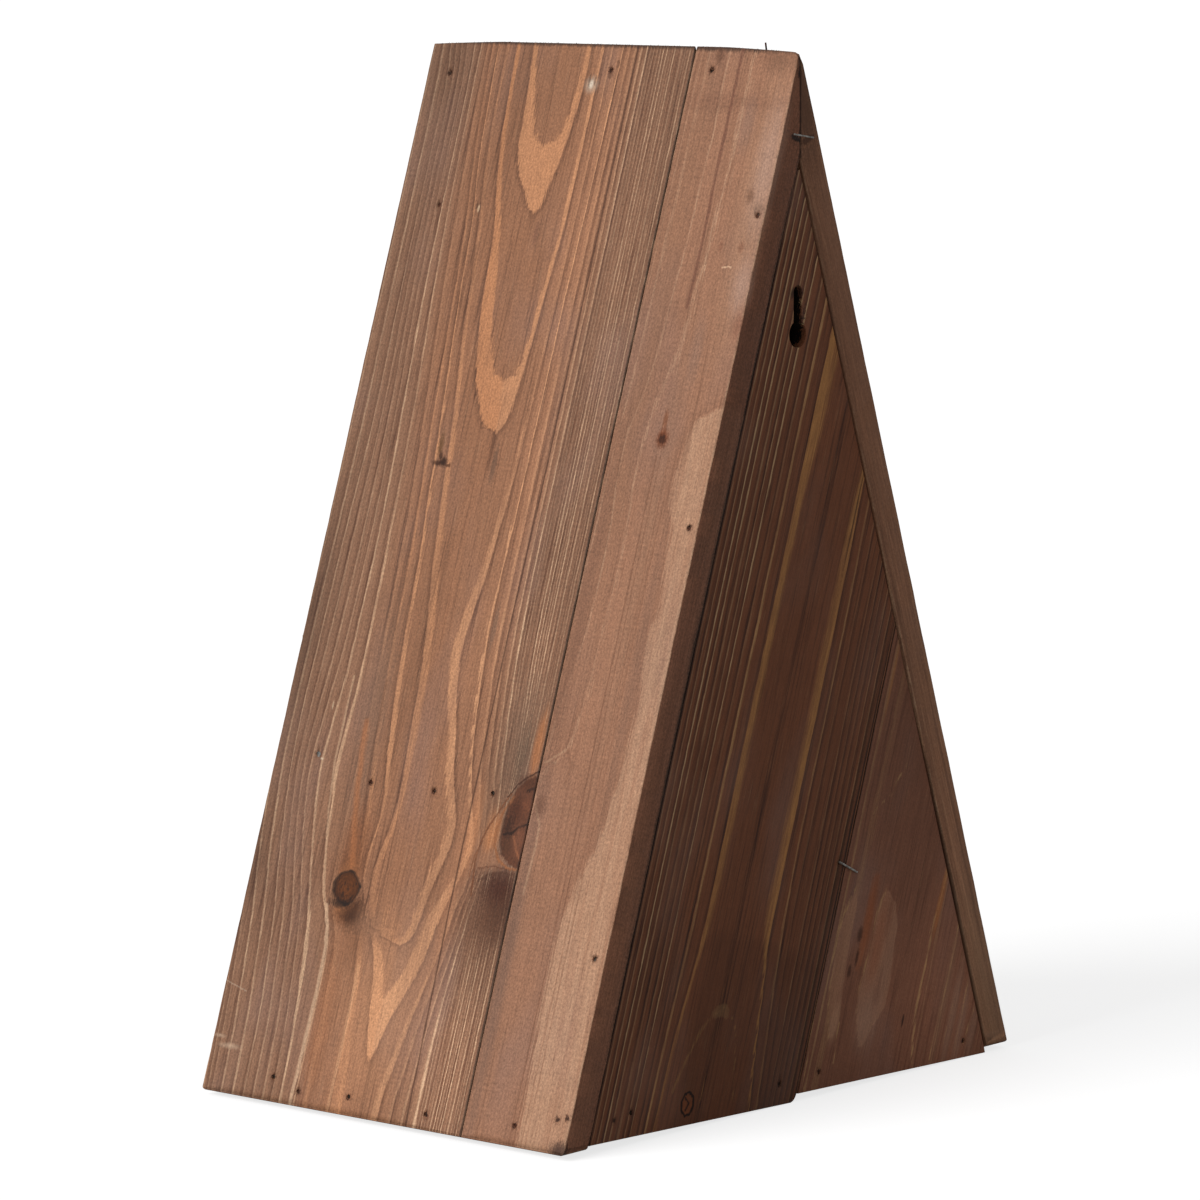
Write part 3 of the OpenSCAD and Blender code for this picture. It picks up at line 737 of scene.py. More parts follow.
LOOP_LEFT = [
    (0, 38.5), (30, 39.5), (50, 41), (70, 43.5), (95, 46.5), (120, 48.5), (140, 51.3), (160, 53.7),
    (180, 55.4), (200, 57.7), (220, 60.5), (240, 63.4), (252, 64.7), (265, 65.6), (278, 66.2),
    (290, 67.1), (300, 67.5), (310, 66.7), (318, 65), (325, 63.5), (331, 62.5), (340, 63), (350, 67),
    (353, 72), (355, 78), (356, 84),
]
LOOP_LEFT_IN = shifted(LOOP_LEFT[:-3], [
    (0, 1), (130, 2.3), (180, 3), (230, 4.5), (255, 4.4), (285, 3), (300, 1.9), (312, 2), (335, 3),
    (353, 3),
]) + [(354, 84)]
LOOP_RIGHT = [
    (0, 92.5), (60, 92.5), (100, 92), (140, 91), (160, 90.5), (178, 89.8), (195, 88.3), (208, 87.3),
    (222, 85.3), (232, 83.6), (240, 82.8), (250, 83.8), (262, 86.2), (275, 89.5), (290, 92.8),
    (300, 96.3), (308, 98.6), (314, 98.6), (325, 95.8), (335, 93.2), (345, 91.5), (352, 89.5),
    (355, 86.5), (356, 84.5),
]
LOOP_RIGHT_IN = shifted(LOOP_RIGHT[:-3], [
    (0, -1), (150, -1.3), (195, -2.8), (235, -5.4), (250, -5.4), (275, -4.4), (316, -4.5), (345, -4),
    (352, -4),
]) + [(354, 84.5)]
TIP_LEFT = [
    (0, 34), (30, 35.5), (50, 37), (70, 40), (100, 42), (120, 43.8), (140, 45.5), (160, 47.3),
    (190, 49.5), (205, 50.9), (220, 51.6), (235, 52.2), (250, 53.3), (262, 54.2), (272, 55.2),
    (282, 56.5), (293, 58.6), (302, 60), (311, 60), (320, 58.6), (330, 58), (338, 60.2), (347, 64.5),
    (355, 69), (363, 72.5), (372, 74.5), (383, 76), (391, 77.5), (400, 80), (402, 81),
]
TIP_LEFT_IN = shifted(TIP_LEFT[:-5], [
    (0, 1.2), (130, 1.6), (200, 2), (240, 2.5), (260, 2.9), (275, 3.3), (295, 2.6), (310, 2), (330, 2),
    (345, 4.5), (365, 6),
]) + [(376, 81.6)]
TIP_RIGHT = [
    (0, 98), (50, 97), (100, 96), (140, 95.5), (190, 95), (215, 94.5), (230, 94.5), (245, 95.3),
    (262, 96.8), (278, 99), (290, 101.7), (300, 105), (308, 108.3), (316, 109.6), (326, 107),
    (336, 103.5), (346, 100.5), (356, 98.5), (366, 95.5), (374, 92), (383, 88), (392, 85), (398, 83),
    (402, 81.5),
]
TIP_RIGHT_IN = shifted(TIP_RIGHT[:-5], [
    (0, -1), (190, -1.4), (230, -2), (285, -1.5), (310, -3.2), (330, -4.5), (345, -7), (366, -8),
]) + [(376.5, 81.7)]

# A plan gives each ring number its line, and each ring's look as band share, brightness and warmth
WIDE_PLAN = {
    "heart": [
        (0, 68), (42, 67.8), (70, 70.7), (136, 74.3), (157, 76.3), (200, 73), (232, 72), (250, 74),
        (290, 79), (320, 80), (354, 84), (376, 81.6), (402, 81.2), (424, 81),
    ],
    "peaks": [
        (-10, 1.05), (42, 1.6), (70, 2), (136, 2.6), (157, 3), (354, 3.6), (356, 4), (376, 4.6),
        (402, 5), (430, 5.3),
    ],
    "left": {
        1.6: V1_LEFT_IN, 2: V1_LEFT, 2.6: V2_LEFT_IN, 3: V2_LEFT, 3.6: LOOP_LEFT_IN, 4: LOOP_LEFT,
        4.6: TIP_LEFT_IN, 5: TIP_LEFT,
        6: [
            (0, 31), (20, 32), (50, 34.5), (70, 37), (95, 39), (115, 40.2), (135, 41.2), (155, 42.3),
            (170, 43.5), (190, 45), (210, 46.3), (230, 46.8), (250, 47.5), (272, 48.5), (283, 49.5),
            (295, 51.3), (310, 53), (325, 54.5), (340, 57.5), (356, 62.5), (370, 65), (385, 66.3),
            (420, 67),
        ],
        7: [
            (0, 28.5), (50, 30), (100, 33), (150, 37.5), (175, 39.8), (200, 41), (225, 42), (250, 43),
            (275, 43.3), (300, 42.8), (315, 42.6), (325, 42.6), (337, 42.6), (347, 45.5), (356, 50),
            (370, 52), (420, 52.5),
        ],
        8: [
            (0, 25), (50, 26), (100, 28), (150, 31.3), (200, 33), (250, 34), (270, 33.3), (290, 32),
            (310, 34.5), (330, 37), (342, 40.5), (350, 45), (360, 47.8), (370, 48.7), (390, 48.3),
            (420, 48),
        ],
        9: [
            (0, 21.5), (20, 22.5), (100, 23.3), (150, 25.5), (200, 27.5), (250, 27), (270, 25.5),
            (290, 24), (300, 24.5), (320, 28), (340, 32), (355, 35), (370, 36.8), (390, 39),
            (420, 40.5),
        ],
        10: [
            (0, 17), (20, 19), (100, 19.8), (150, 22.5), (200, 23.5), (250, 22), (270, 20), (290, 18.5),
            (310, 20.5), (330, 25), (350, 30), (370, 32.7), (390, 34.8), (420, 36),
        ],
        13: [
            (0, 9.5), (20, 11.8), (100, 12), (150, 12.8), (200, 11), (250, 9.7), (270, 9.2), (290, 9.7),
            (310, 11.7), (330, 14.2), (350, 17.8), (370, 20), (390, 21.8), (420, 22.5),
        ],
        15: [
            (0, 2), (100, 2.5), (200, 2), (250, 1), (290, 0.8), (310, 2), (330, 4), (350, 7),
            (370, 8.7), (390, 10.5), (420, 11.5),
        ],
        16: [(0, -3), (200, -3), (290, -4), (320, -2), (340, 0), (360, 2.5), (380, 4), (420, 6)],
    },
    "right": {
        1.6: V1_RIGHT_IN, 2: V1_RIGHT, 2.6: V2_RIGHT_IN, 3: V2_RIGHT, 3.6: LOOP_RIGHT_IN, 4: LOOP_RIGHT,
        4.6: TIP_RIGHT_IN, 5: TIP_RIGHT,
        6: [
            (0, 101.5), (100, 101), (200, 100.5), (240, 101), (265, 103), (290, 106.5), (305, 110),
            (316, 112.5), (328, 110.5), (340, 107.5), (352, 105.5), (362, 103), (372, 100.5),
            (385, 97.5), (400, 94.8), (412, 92.3), (424, 91.5),
        ],
        9: [
            (0, 110.5), (200, 110.5), (240, 111.5), (262, 113.5), (285, 116), (300, 118), (318, 118),
            (330, 116.5), (345, 114.5), (365, 112.5), (400, 111), (424, 111),
        ],
        14: [
            (0, 118), (200, 118), (240, 118.7), (262, 120.3), (285, 121.5), (300, 121), (330, 119.5),
            (345, 119), (400, 118.5), (424, 118),
        ],
        19: [
            (0, 125.5), (220, 125.5), (262, 126), (290, 125.5), (305, 123.5), (318, 123.5), (332, 125),
            (350, 126), (424, 125.5),
        ],
        25: [(0, 134.5), (424, 134.5)],
    },
    "quiet": [
        (61, 340, 7, 14, -0.9), (75, 354, 9, 5, -0.6), (97, 340, 7, 12, -0.45), (60, 352, 12, 12, -0.5),
        (106, 327, 4, 8, -0.6), (15, 70, 26, 130, -0.4), (122, 60, 12, 120, -0.3),
        (88, 100, 5, 110, -0.25), (123, 340, 10, 14, -0.6),
    ],
    "left_look": {
        1: (0.4, 0.8, 0.9), 2: (0.4, 1.0, 0.9), 3: (0.4, 0.95, 1.0), 4: (0.4, 1.15, 0.85),
        5: (0.4, 1.1, 0.85), 6: (0.34, 0.6, 0.9), 7: (0.22, 0.35, 0.7), 8: (0.22, 0.8, 0.2),
        9: (0.24, 0.7, 0.1), 10: (0.24, 0.6, 0.1), 12: (0.28, 0.6, 0.05), 13: (0.3, 0.65, 0.05),
        14: (0.22, 0.5, 0.05), 17: (0.22, 0.4, 0.05),
    },
    "right_look": {
        1: (0.4, 0.8, 0.9), 2: (0.4, 0.85, 0.9), 3: (0.4, 0.7, 0.85), 4: (0.4, 1.2, 0.75),
        5: (0.4, 1.05, 0.75), 6: (0.28, 0.5, 0.7), 7: (0.25, 0.4, 0.5), 8: (0.3, 0.45, 0.3),
        9: (0.38, 0.55, 0.0), 26: (0.4, 0.6, 0.0),
    },
}

RIGHT_BRADS_WIDE = [
    (11.8, 13.5), (93.8, 10.7), (51.7, 296), (84.3, 296.3), (113.4, 294), (35.4, 413), (49.5, 417),
    (75.1, 415.4), (114.7, 416.7),
]
RIGHT_BRADS_NARROW = [
    (143.5, 9.5), (180.4, 65.3), (179.8, 185.9), (178.9, 349.3), (158, 414.6), (177.5, 409.8),
    (181.9, 408.5),
]
PLAIN_KNOT = "#6f4630", "#2a1a12", "#8d5636", 1.5
STAIN = rgb("#956649"), rgb("#5d3b29"), rgb("#c3a080"), rgb("#b57b54")


def mark(u0, v0, ru, rv, colour, strength, blur):
    """A mark on a board's face."""
    return (u0, v0, 0.0), (ru, rv, 3.0), colour, strength, blur


def stroke(half, colour, strength, blur, *points):
    """A line of a given half width through points on a board's face."""
    return points, half, colour, strength, blur


def edge_mark(v0, w0, rv, rw, colour, strength, blur):
    """A mark on a side board's rear edge."""
    return (DEPTH, v0, w0), (2.5, rv, rw), colour, strength, blur


# The marks are too many for one shader, so the face has five areas with a material each
WIDE_AREAS = [
    (-50, 200, -50, 150), (-50, 200, 150, 276), (-50, 93, 276, 450), (93, 200, 276, 340),
    (93, 200, 340, 450),
]
side_wide = wood_by_area(
    "stained side board", WIDE_AREAS, *STAIN, grey=rgb("#8a644c"), late_mix=0.55, speck=0.85,
    fading=1.2, brads=RIGHT_BRADS_WIDE, inlays=[(0, rgb("#5c3420"), 0.95)],
    under=[
        mark(127, 337, 9.5, 13, "#472716", 0.88, 0.9), mark(119, 341, 8, 12, "#6b452f", 0.4, 0.9),
        mark(127, 328, 8, 6, "#411c0c", 0.85, 0.8), mark(121, 272, 8, 20, "#6a5241", 0.45, 0.9),
        mark(124, 278, 3, 10, "#574334", 0.5, 0.8), mark(117, 309, 3.4, 8, "#b9784b", 0.75, 0.8),
        mark(112.5, 298, 4, 14, "#7c5a44", 0.4, 0.8), mark(107.5, 310, 3.0, 14, "#bb7f57", 0.6, 0.7),
        mark(130.5, 274, 2.2, 12, "#a3673f", 0.75, 0.6), mark(119, 319, 7.0, 3.4, "#94674c", 0.8, 0.7),
        mark(103.5, 330, 3.0, 30, "#a97453", 0.4, 0.8), mark(46, 274, 6, 44, "#7c5d4a", 0.6, 0.9),
        mark(51, 322, 6, 14, "#7d4b2c", 0.7, 0.8), mark(50, 329, 8, 5, "#6a4028", 0.5, 0.8),
        mark(57.3, 346.5, 5, 6.5, "#3f1f0a", 0.95, 0.6), mark(51, 347, 6, 4, "#6b4026", 0.6, 0.7),
        mark(61, 356, 4, 9, "#7d5136", 0.5, 0.8), mark(66, 350, 8, 5, "#7f5a44", 0.5, 0.8),
        mark(53, 388, 4.5, 30, "#9c6543", 0.45, 0.8), mark(82, 376, 16, 30, "#c8956f", 0.2, 0.9),
        mark(92, 0.2, 300, 1.3, "#33231a", 0.85, 0.6),
    ],
    strokes=[
        stroke(0.35, "#3a1f12", 0.85, 0.5, (121, 294.5), (124.5, 289.5), (128.5, 286), (134, 283)),
        stroke(
            0.4, "#6d3f24", 0.8, 0.5, (122.5, 293), (119, 299), (115, 306), (112.5, 313), (111.8, 320),
            (113.5, 333),
        ),
        stroke(
            0.55, "#8f5a38", 0.85, 0.6, (124, 294), (120.5, 300), (119, 307), (119.5, 313),
            (123, 318.5), (128, 321), (134, 321.3),
        ),
        stroke(0.5, "#3a1f12", 0.5, 0.7, (122.5, 297), (121.7, 303), (121.7, 311), (124, 316)),
        stroke(0.5, "#1d0e08", 0.9, 0.5, (123, 308.5), (127, 307.5), (129, 305.5), (134, 303.5)),
        stroke(0.6, "#1d0e08", 0.85, 0.5, (130, 291.2), (134, 289.5)),
        stroke(0.5, "#965c3c", 0.7, 0.6, (128, 309), (130.5, 314), (134, 318)),
        stroke(0.6, "#7c4a30", 0.6, 0.6, (129, 296), (134, 299)),
        stroke(0.3, "#5c3420", 0.6, 0.6, (114, 322.5), (121, 321), (128, 321.5)),
        stroke(0.6, "#4a2a1a", 0.55, 0.8, (116, 327), (120, 324.2), (127, 322.9), (134, 322.9)),
        stroke(0.35, "#6d3f24", 0.6, 0.6, (113.5, 312), (111, 318), (110.5, 326)),
        stroke(
            0.8, "#c39f80", 0.75, 0.6, (43, 345), (45.8, 353), (47.3, 361), (47.8, 375), (47.3, 395),
            (46.6, 424),
        ),
        stroke(1.3, "#a8683e", 0.55, 0.9, (43, 273), (44.2, 285), (46, 300), (48.5, 314), (51.5, 328)),
        stroke(0.45, "#5d3b29", 0.45, 0.7, (48.5, 256), (49.5, 290), (53, 318)),
        stroke(
            0.5, "#bf9a7a", 0.5, 0.6, (31.5, 256), (31.3, 290), (33.8, 310), (37.5, 328), (40.5, 340),
            (43.5, 347),
        ),
        stroke(0.8, "#bf8d68", 0.6, 0.6, (66, 366), (66.3, 385), (66, 424)),
        stroke(
            0.4, "#45291b", 0.75, 0.5, (105.2, -5), (105.0, 170), (104, 230), (104.3, 335), (106, 424),
        ),
        stroke(0.3, "#55382a", 0.6, 0.6, (110.5, 0), (110.8, 165)),
        stroke(0.4, "#2e1b12", 0.85, 0.5, (133.2, -5), (133.2, 424)),
        stroke(0.25, "#c3a992", 0.35, 0.6, (0, 379.5), (12, 382.5)),
    ],
    spots=[
        mark(52.6, 169.2, 2.0, 1.8, "#2e1507", 0.95, 0.6),
        mark(49.8, 162.5, 1.3, 4.5, "#5f3f20", 0.75, 0.7),
        mark(49.6, 169.8, 2.0, 1.1, "#3a1c0a", 0.9, 0.6),
        mark(51, 166.8, 1.0, 1.7, "#3a1c0a", 0.85, 0.6),
        mark(55.6, 170.3, 1.4, 0.6, "#4a2812", 0.8, 0.5),
        mark(78.5, 168, 1.3, 7.5, "#5c4436", 0.6, 0.5),
        mark(85.8, 16.8, 2.6, 2.8, "#ab9480", 0.75, 0.7),
        mark(85.6, 16.5, 1.0, 1.6, "#d0c0ac", 0.7, 0.5), mark(84.4, 15, 0.5, 2.4, "#4f3424", 0.6, 0.5),
        mark(87.2, 15, 0.5, 2.0, "#5a3c2a", 0.5, 0.5), mark(97.0, 8.0, 0.8, 1.6, "#5a3a28", 0.6, 0.5),
        mark(94, 12, 1.2, 2.0, "#4a2e1e", 0.6, 0.5), mark(42.3, 68, 0.6, 1.4, "#d8b894", 0.6, 0.4),
        mark(41.2, 67, 0.6, 1.2, "#4a3020", 0.6, 0.4), mark(21.0, 67, 0.7, 2.2, "#5a3c2a", 0.5, 0.5),
        mark(74, 77, 1.0, 5.0, "#6e4838", 0.5, 0.5), mark(96.5, 231, 1.2, 9.0, "#6b5242", 0.5, 0.5),
        mark(100.2, 120, 0.8, 5.0, "#6b4a3a", 0.5, 0.5),
        mark(24.5, 289.5, 0.7, 0.5, "#dcc4a8", 0.6, 0.6), mark(24, 268, 0.4, 1.4, "#d8bc9a", 0.5, 0.6),
        mark(9.5, 404.3, 4.5, 0.9, "#c3a68c", 0.5, 0.9), mark(3.5, 401, 2.5, 0.6, "#c3a68c", 0.45, 0.9),
        mark(126, 299, 3.2, 4.5, "#44200f", 0.6, 0.9), mark(124.2, 306, 2.0, 4.5, "#2c1409", 0.75, 0.8),
        mark(125.5, 313, 2.4, 3.5, "#4f2f1c", 0.6, 0.8),
        mark(129.5, 288, 4.5, 2.8, "#4a2816", 0.7, 0.7), mark(131, 310, 2.6, 4.5, "#7a4a33", 0.6, 0.8),
        mark(131.5, 297, 2.2, 3.5, "#6a3c26", 0.6, 0.8), mark(50, 343.6, 5.0, 1.6, "#1c0f08", 0.8, 0.6),
        mark(45.4, 339, 1.2, 4.2, "#2a1508", 0.6, 0.7), mark(48, 341, 2.0, 1.6, "#33190a", 0.5, 0.7),
        mark(55, 347.5, 4.0, 2.6, "#361a09", 0.7, 0.7),
    ],
    knots=[(51.2, 337.3, 6.7, 6.5, "#5f3212", "#1c0f08", "#8f5a36", 1.35)],
)
board(
    "side_right_wide_board", "right_side_wide_board", "house", "side_wide_wood", RIGHT_SIDE, (1.5, 3.0),
    planned_grain(WIDE_PLAN), side_wide,
    shade=patches(
        (0, 235, 12, 45, -0.3), (0, 335, 10, 22, -0.25), (48, 20, 8, 40, -0.12), (5, 5, 22, 26, -0.22),
        (80, 395, 26, 30, 0.16), (98, 70, 12, 90, 0.28), (122, 90, 10, 90, 0.18),
        (22, 100, 14, 80, 0.08), (101, 200, 9, 70, 0.2), (120, 400, 16, 36, 0.54),
        (122, 245, 9, 30, 0.25), (86, 240, 6, 25, 0.2), (122, 250, 9, 30, 0.1), (62, 240, 5, 40, -0.15),
        (8, 100, 14, 80, -0.1), (20, 60, 30, 60, -0.05), (78, 300, 18, 50, 0.04),
        (2, 260, 6, 90, -0.14),
    ),
    wear=(0.25, 0.04), finer=[((110, 134, 280, 330), 0.8)],
    inlay=figures(areas=[[
        (134, 284), (128, 287), (124, 291), (122.3, 297), (121.5, 303), (121.5, 311), (124, 317),
        (129, 320), (134, 321),
    ]]),
)

# The right side's narrow board: three broad steps of tone
NARROW_PLAN = {
    **even_plan(200),
    "left": {
        2: [
            (0, 198), (110, 195), (134, 190), (139, 183), (141, 179), (144, 173), (146, 171),
            (151, 169.5), (163, 168), (170, 167), (177, 167), (182, 168.5), (186, 171), (198, 171.5),
            (205, 172), (219, 173.5), (223, 171), (230, 170.5), (252, 172.5), (262, 172.5),
            (285, 170.5), (298, 169), (303, 168), (310, 167), (317, 164), (323, 162), (330, 160.5),
            (338, 158.5), (365, 157.5), (375, 158), (395, 159.5), (420, 160),
        ],
        3: [
            (0, 161), (40, 161), (60, 160), (80, 159), (100, 157.5), (110, 156.5), (120, 155),
            (141, 150), (150, 149), (165, 148), (180, 149), (200, 149.5), (220, 149), (235, 148.5),
            (250, 147.5), (262, 146), (270, 145), (276, 142), (281, 136), (290, 132), (420, 128),
        ],
        4: [
            (0, 150), (60, 149.5), (90, 148), (130, 145), (145, 142), (152, 140), (170, 140),
            (180, 141), (190, 142), (212, 142), (228, 141), (260, 136), (420, 125),
        ],
        5: [(0, 140), (150, 136), (420, 122)],
    },
    "right": {3: [(0, 230), (420, 230)]},
    "quiet": [(142, 250, 8, 25, -0.6)],
    "left_look": {
        1: (0.8, 0.5, 0.25), 2: (0.8, 0.5, 0.25), 2.05: (0.06, 0.7, 0.2), 3: (0.06, 0.7, 0.2),
        3.05: (0.12, 0.6, 0.2), 4: (0.12, 0.6, 0.2), 6: (0.3, 0.4, 0.3),
    },
    "right_look": {1: (0.5, 0.5, 0.3), 4: (0.5, 0.5, 0.3)},
}
side_narrow = wood(
    "stained narrow side board", rgb("#9a6d53"), rgb("#7b543e"), rgb("#b68f73"), rgb("#b88c6b"),
    edge=rgb("#7a4d38"), late=6.0, late_mix=0.3, fibre=0.16, speck=0.85, ripple=0.11, cloud=0.1,
    vary=0.1, feather=2.0, crisp=1.4, brads=RIGHT_BRADS_NARROW, arris=0.7, mitre=(0, SIN, -COS),
    under=[
        mark(137, 360, 2.8, 60, "#785a4b", 0.6, 0.8), mark(143, 100, 5, 90, "#8a6248", 0.35, 0.9),
        mark(137, 230, 3.2, 60, "#7a5440", 0.6, 0.8), mark(168.5, 240, 2.2, 55, "#86604b", 0.6, 0.8),
        mark(160, 200, 3.5, 70, "#8d6850", 0.35, 0.9), mark(178, 60, 7, 45, "#a98468", 0.3, 0.9),
        mark(158, 22, 26, 3.0, "#7d5540", 0.4, 0.8), mark(180, 45, 5, 20, "#b09080", 0.4, 0.9),
        mark(180, 93, 4, 9, "#b09080", 0.4, 0.9), mark(166, 30, 3, 9, "#86695a", 0.45, 0.9),
        mark(165, 120, 2.5, 12, "#86695a", 0.4, 0.9), mark(182.5, 108, 2.5, 5, "#86553f", 0.5, 0.9),
        mark(180, 63, 2.4, 1.8, "#6a5040", 0.5, 0.8), mark(158, 0.4, 300, 1.6, "#33231a", 0.85, 0.6),
    ],
    strokes=[
        stroke(0.7, "#6e4534", 0.75, 0.6, (156.6, -4), (156.3, 40), (156.8, 75), (156.3, 102)),
        stroke(0.4, "#b08a6c", 0.45, 0.7, (144, 274), (135, 280)),
        stroke(0.6, "#7a523c", 0.5, 0.7, (145, 274), (148, 280), (147, 286)),
        stroke(0.5, "#b89274", 0.45, 0.7, (135, 296), (139, 303), (139.5, 310), (138.5, 330)),
        stroke(0.35, "#6d4632", 0.5, 0.7, (157, 160), (157, 424)),
        stroke(0.3, "#6d4632", 0.4, 0.7, (159, 160), (159.2, 424)),
        stroke(0.3, "#7a5039", 0.4, 0.7, (163, 160), (163, 424)),
        stroke(0.3, "#7a5039", 0.35, 0.7, (165, 170), (165, 424)),
        stroke(0.35, "#d0a888", 0.7, 0.5, (169, 86.2), (173, 85.8)),
    ],
    spots=[
        mark(158, 153, 2.7, 3.4, "#6e3410", 0.9, 0.6), mark(158, 153.5, 1.6, 1.8, "#3a1a08", 0.9, 0.5),
        mark(176, 78, 1.2, 2.2, "#7a4a34", 0.5, 0.6), mark(157.6, 146, 1.0, 3.5, "#7a4526", 0.7, 0.6),
        mark(146, 4, 2.0, 3.0, "#5e3c2a", 0.6, 0.5), mark(175, 58, 1.6, 2.6, "#6a4631", 0.6, 0.6),
        mark(166, 78, 1.0, 2.0, "#7a4a34", 0.45, 0.6), mark(176, 4, 8, 5, "#5a3c2c", 0.4, 0.8),
        mark(137.5, 296, 2.5, 4.0, "#6a4634", 0.6, 0.6),
        edge_mark(8, 4, 3.2, 2.6, "#2a1510", 0.85, 0.4),
        edge_mark(32.9, 8.6, 1.1, 3.4, "#170c08", 0.9, 0.4),
        edge_mark(29.6, 11, 1.2, 2.0, "#24130c", 0.7, 0.5),
        # painted shadow: a dark line along the rear edge's inner arris, for the shade in the gap to the
        # back
        edge_mark(212, 13.6, 230, 1.5, "#1d100a", 0.85, 0.5),
        edge_mark(120, 6, 60, 4, "#6d452f", 0.4, 0.9), edge_mark(330, 5, 60, 5, "#8b5c42", 0.4, 0.9),
        mark(181.5, 421, 4.5, 3.5, "#36211a", 0.85, 0.6),
    ],
)
board(
    "side_right_narrow_board", "right_side_narrow_board", "house", "side_narrow_wood", RIGHT_SIDE,
    (1.5, 3.0), planned_grain(NARROW_PLAN), side_narrow, seed=11, wear=(0.04, 0.35), blunt=4.0,
    shade=patches(
        (140, 150, 8, 70, -0.06), (180, 30, 14, 60, 0.05), (172, 380, 14, 60, 0.06),
        (136, 360, 5, 60, -0.1),
    ),
)

# The left side, seen from its rear edge in the photograph
side_left = wood(
    "stained left side board", *STAIN, edge=rgb("#9c6e52"), speck=0.42, cloud=0.16, vary=0.5,
    mitre=(0, SIN, -COS), knots=[(38, 120, 7.0, 8.0, *PLAIN_KNOT)],
    spots=[
        edge_mark(34, 7.0, 1.2, 4.4, "#170c08", 0.85, 0.4),
        edge_mark(18, 6, 26, 8, "#2b1b13", 0.7, 0.7),
        # painted shadow: a dark line low on the rear edge's inner arris, for the shade in the gap to
        # the back
        edge_mark(350, 13.6, 70, 0.9, "#1d100a", 0.7, 0.5),
        edge_mark(395, 6, 40, 7, "#a67f60", 0.5, 0.9), edge_mark(250, 11, 90, 1.6, "#74503c", 0.5, 0.7),
        edge_mark(330, 3.4, 80, 0.8, "#6d4a36", 0.5, 0.7),
        # painted shadow: a soft dark band higher on the rear edge's inner arris, for the shade in the
        # gap to the back
        edge_mark(120, 13.6, 110, 2.2, "#3a2418", 0.4, 0.8),
        edge_mark(110, 7, 110, 9, "#80563f", 0.5, 0.9),
    ],
)
board(
    "side_left_wide_board", "left_side_wide_board", "house", "side_wide_wood", LEFT_SIDE, (3.0, 6.0),
    sawn_grain(72, 24, 3.6, 21), side_left, seed=21,
)
board(
    "side_left_narrow_board", "left_side_narrow_board", "house", "side_narrow_wood", LEFT_SIDE,
    (3.0, 6.0), sawn_grain(150, -30, 2.6, 31, rise=10), side_left, seed=31, wear=(0.04, 0.35),
    blunt=4.0,
)

# The back's main board: fine lines, two broad bands and a flame at its foot
BACK_PLAN = {
    **even_plan(60),
    "left": {
        1.64: [
            (0, 50), (120, 50), (165, 46.5), (300, 46), (322, 45), (340, 42), (360, 39.6), (400, 37.2),
        ],
        2: [(0, 40.5), (310, 40.5), (340, 39.5), (360, 37.5), (380, 36), (400, 35.5)],
        3: [(0, 33.4), (200, 33.1), (330, 32.3), (370, 31), (400, 30.5)],
        4: [(0, 28.7), (200, 28.4), (400, 27.5)],
        **straight(400, {
            5: (23.2, 22.4), 6: (19.4, 19.6), 7: (16.2, 15.4), 8: (11.8, 11.2), 9: (8.6, 8.2),
            10: (4.6, 4.4), 11: (1.5, 1.6), 12: (-2, -2),
        }),
    },
    "right": {
        1.64: [
            (0, 79), (110, 79), (140, 76), (170, 74.5), (310, 74.5), (325, 77), (335, 80.8), (355, 84),
            (385, 89),
        ],
        2: [(0, 80), (150, 80), (180, 81.2), (325, 81.2), (335, 82.4), (355, 85), (375, 88), (385, 90)],
        3: [(0, 85), (150, 86), (200, 87), (280, 87), (310, 88), (335, 90), (385, 95)],
        4: [(0, 91.5), (300, 92), (385, 98)],
        **straight(385, {
            5: (96, 101), 6: (99.2, 104), 7: (103, 107), 8: (108, 110), 9: (112.5, 113.5),
            10: (118, 118),
        }),
    },
    "quiet": [(20, 330, 40, 150, -0.45), (20, 60, 30, 70, 0.35)],
    "left_look": {
        1: (0.36, 0.7, 0.9), 2: (0.36, 0.7, 0.9), 3: (0.27, 0.9, 0.5), 4: (0.24, 0.9, 0.1),
        5: (0.26, 1.2, 0.1), 6: (0.3, 0.8, 0.1), 7: (0.26, 0.9, 0.1), 8: (0.26, 0.9, 0.1),
        9: (0.3, 1.4, 0.0), 10: (0.28, 1.3, 0.0), 11: (0.28, 1.0, 0.0), 13: (0.22, 0.6, 0.0),
    },
    "right_look": {
        1: (0.36, 0.7, 0.9), 2: (0.36, 0.7, 0.9), 3: (0.22, 0.4, 0.5), 4: (0.2, 0.3, 0.3),
        11: (0.24, 0.3, 0.3),
    },
}
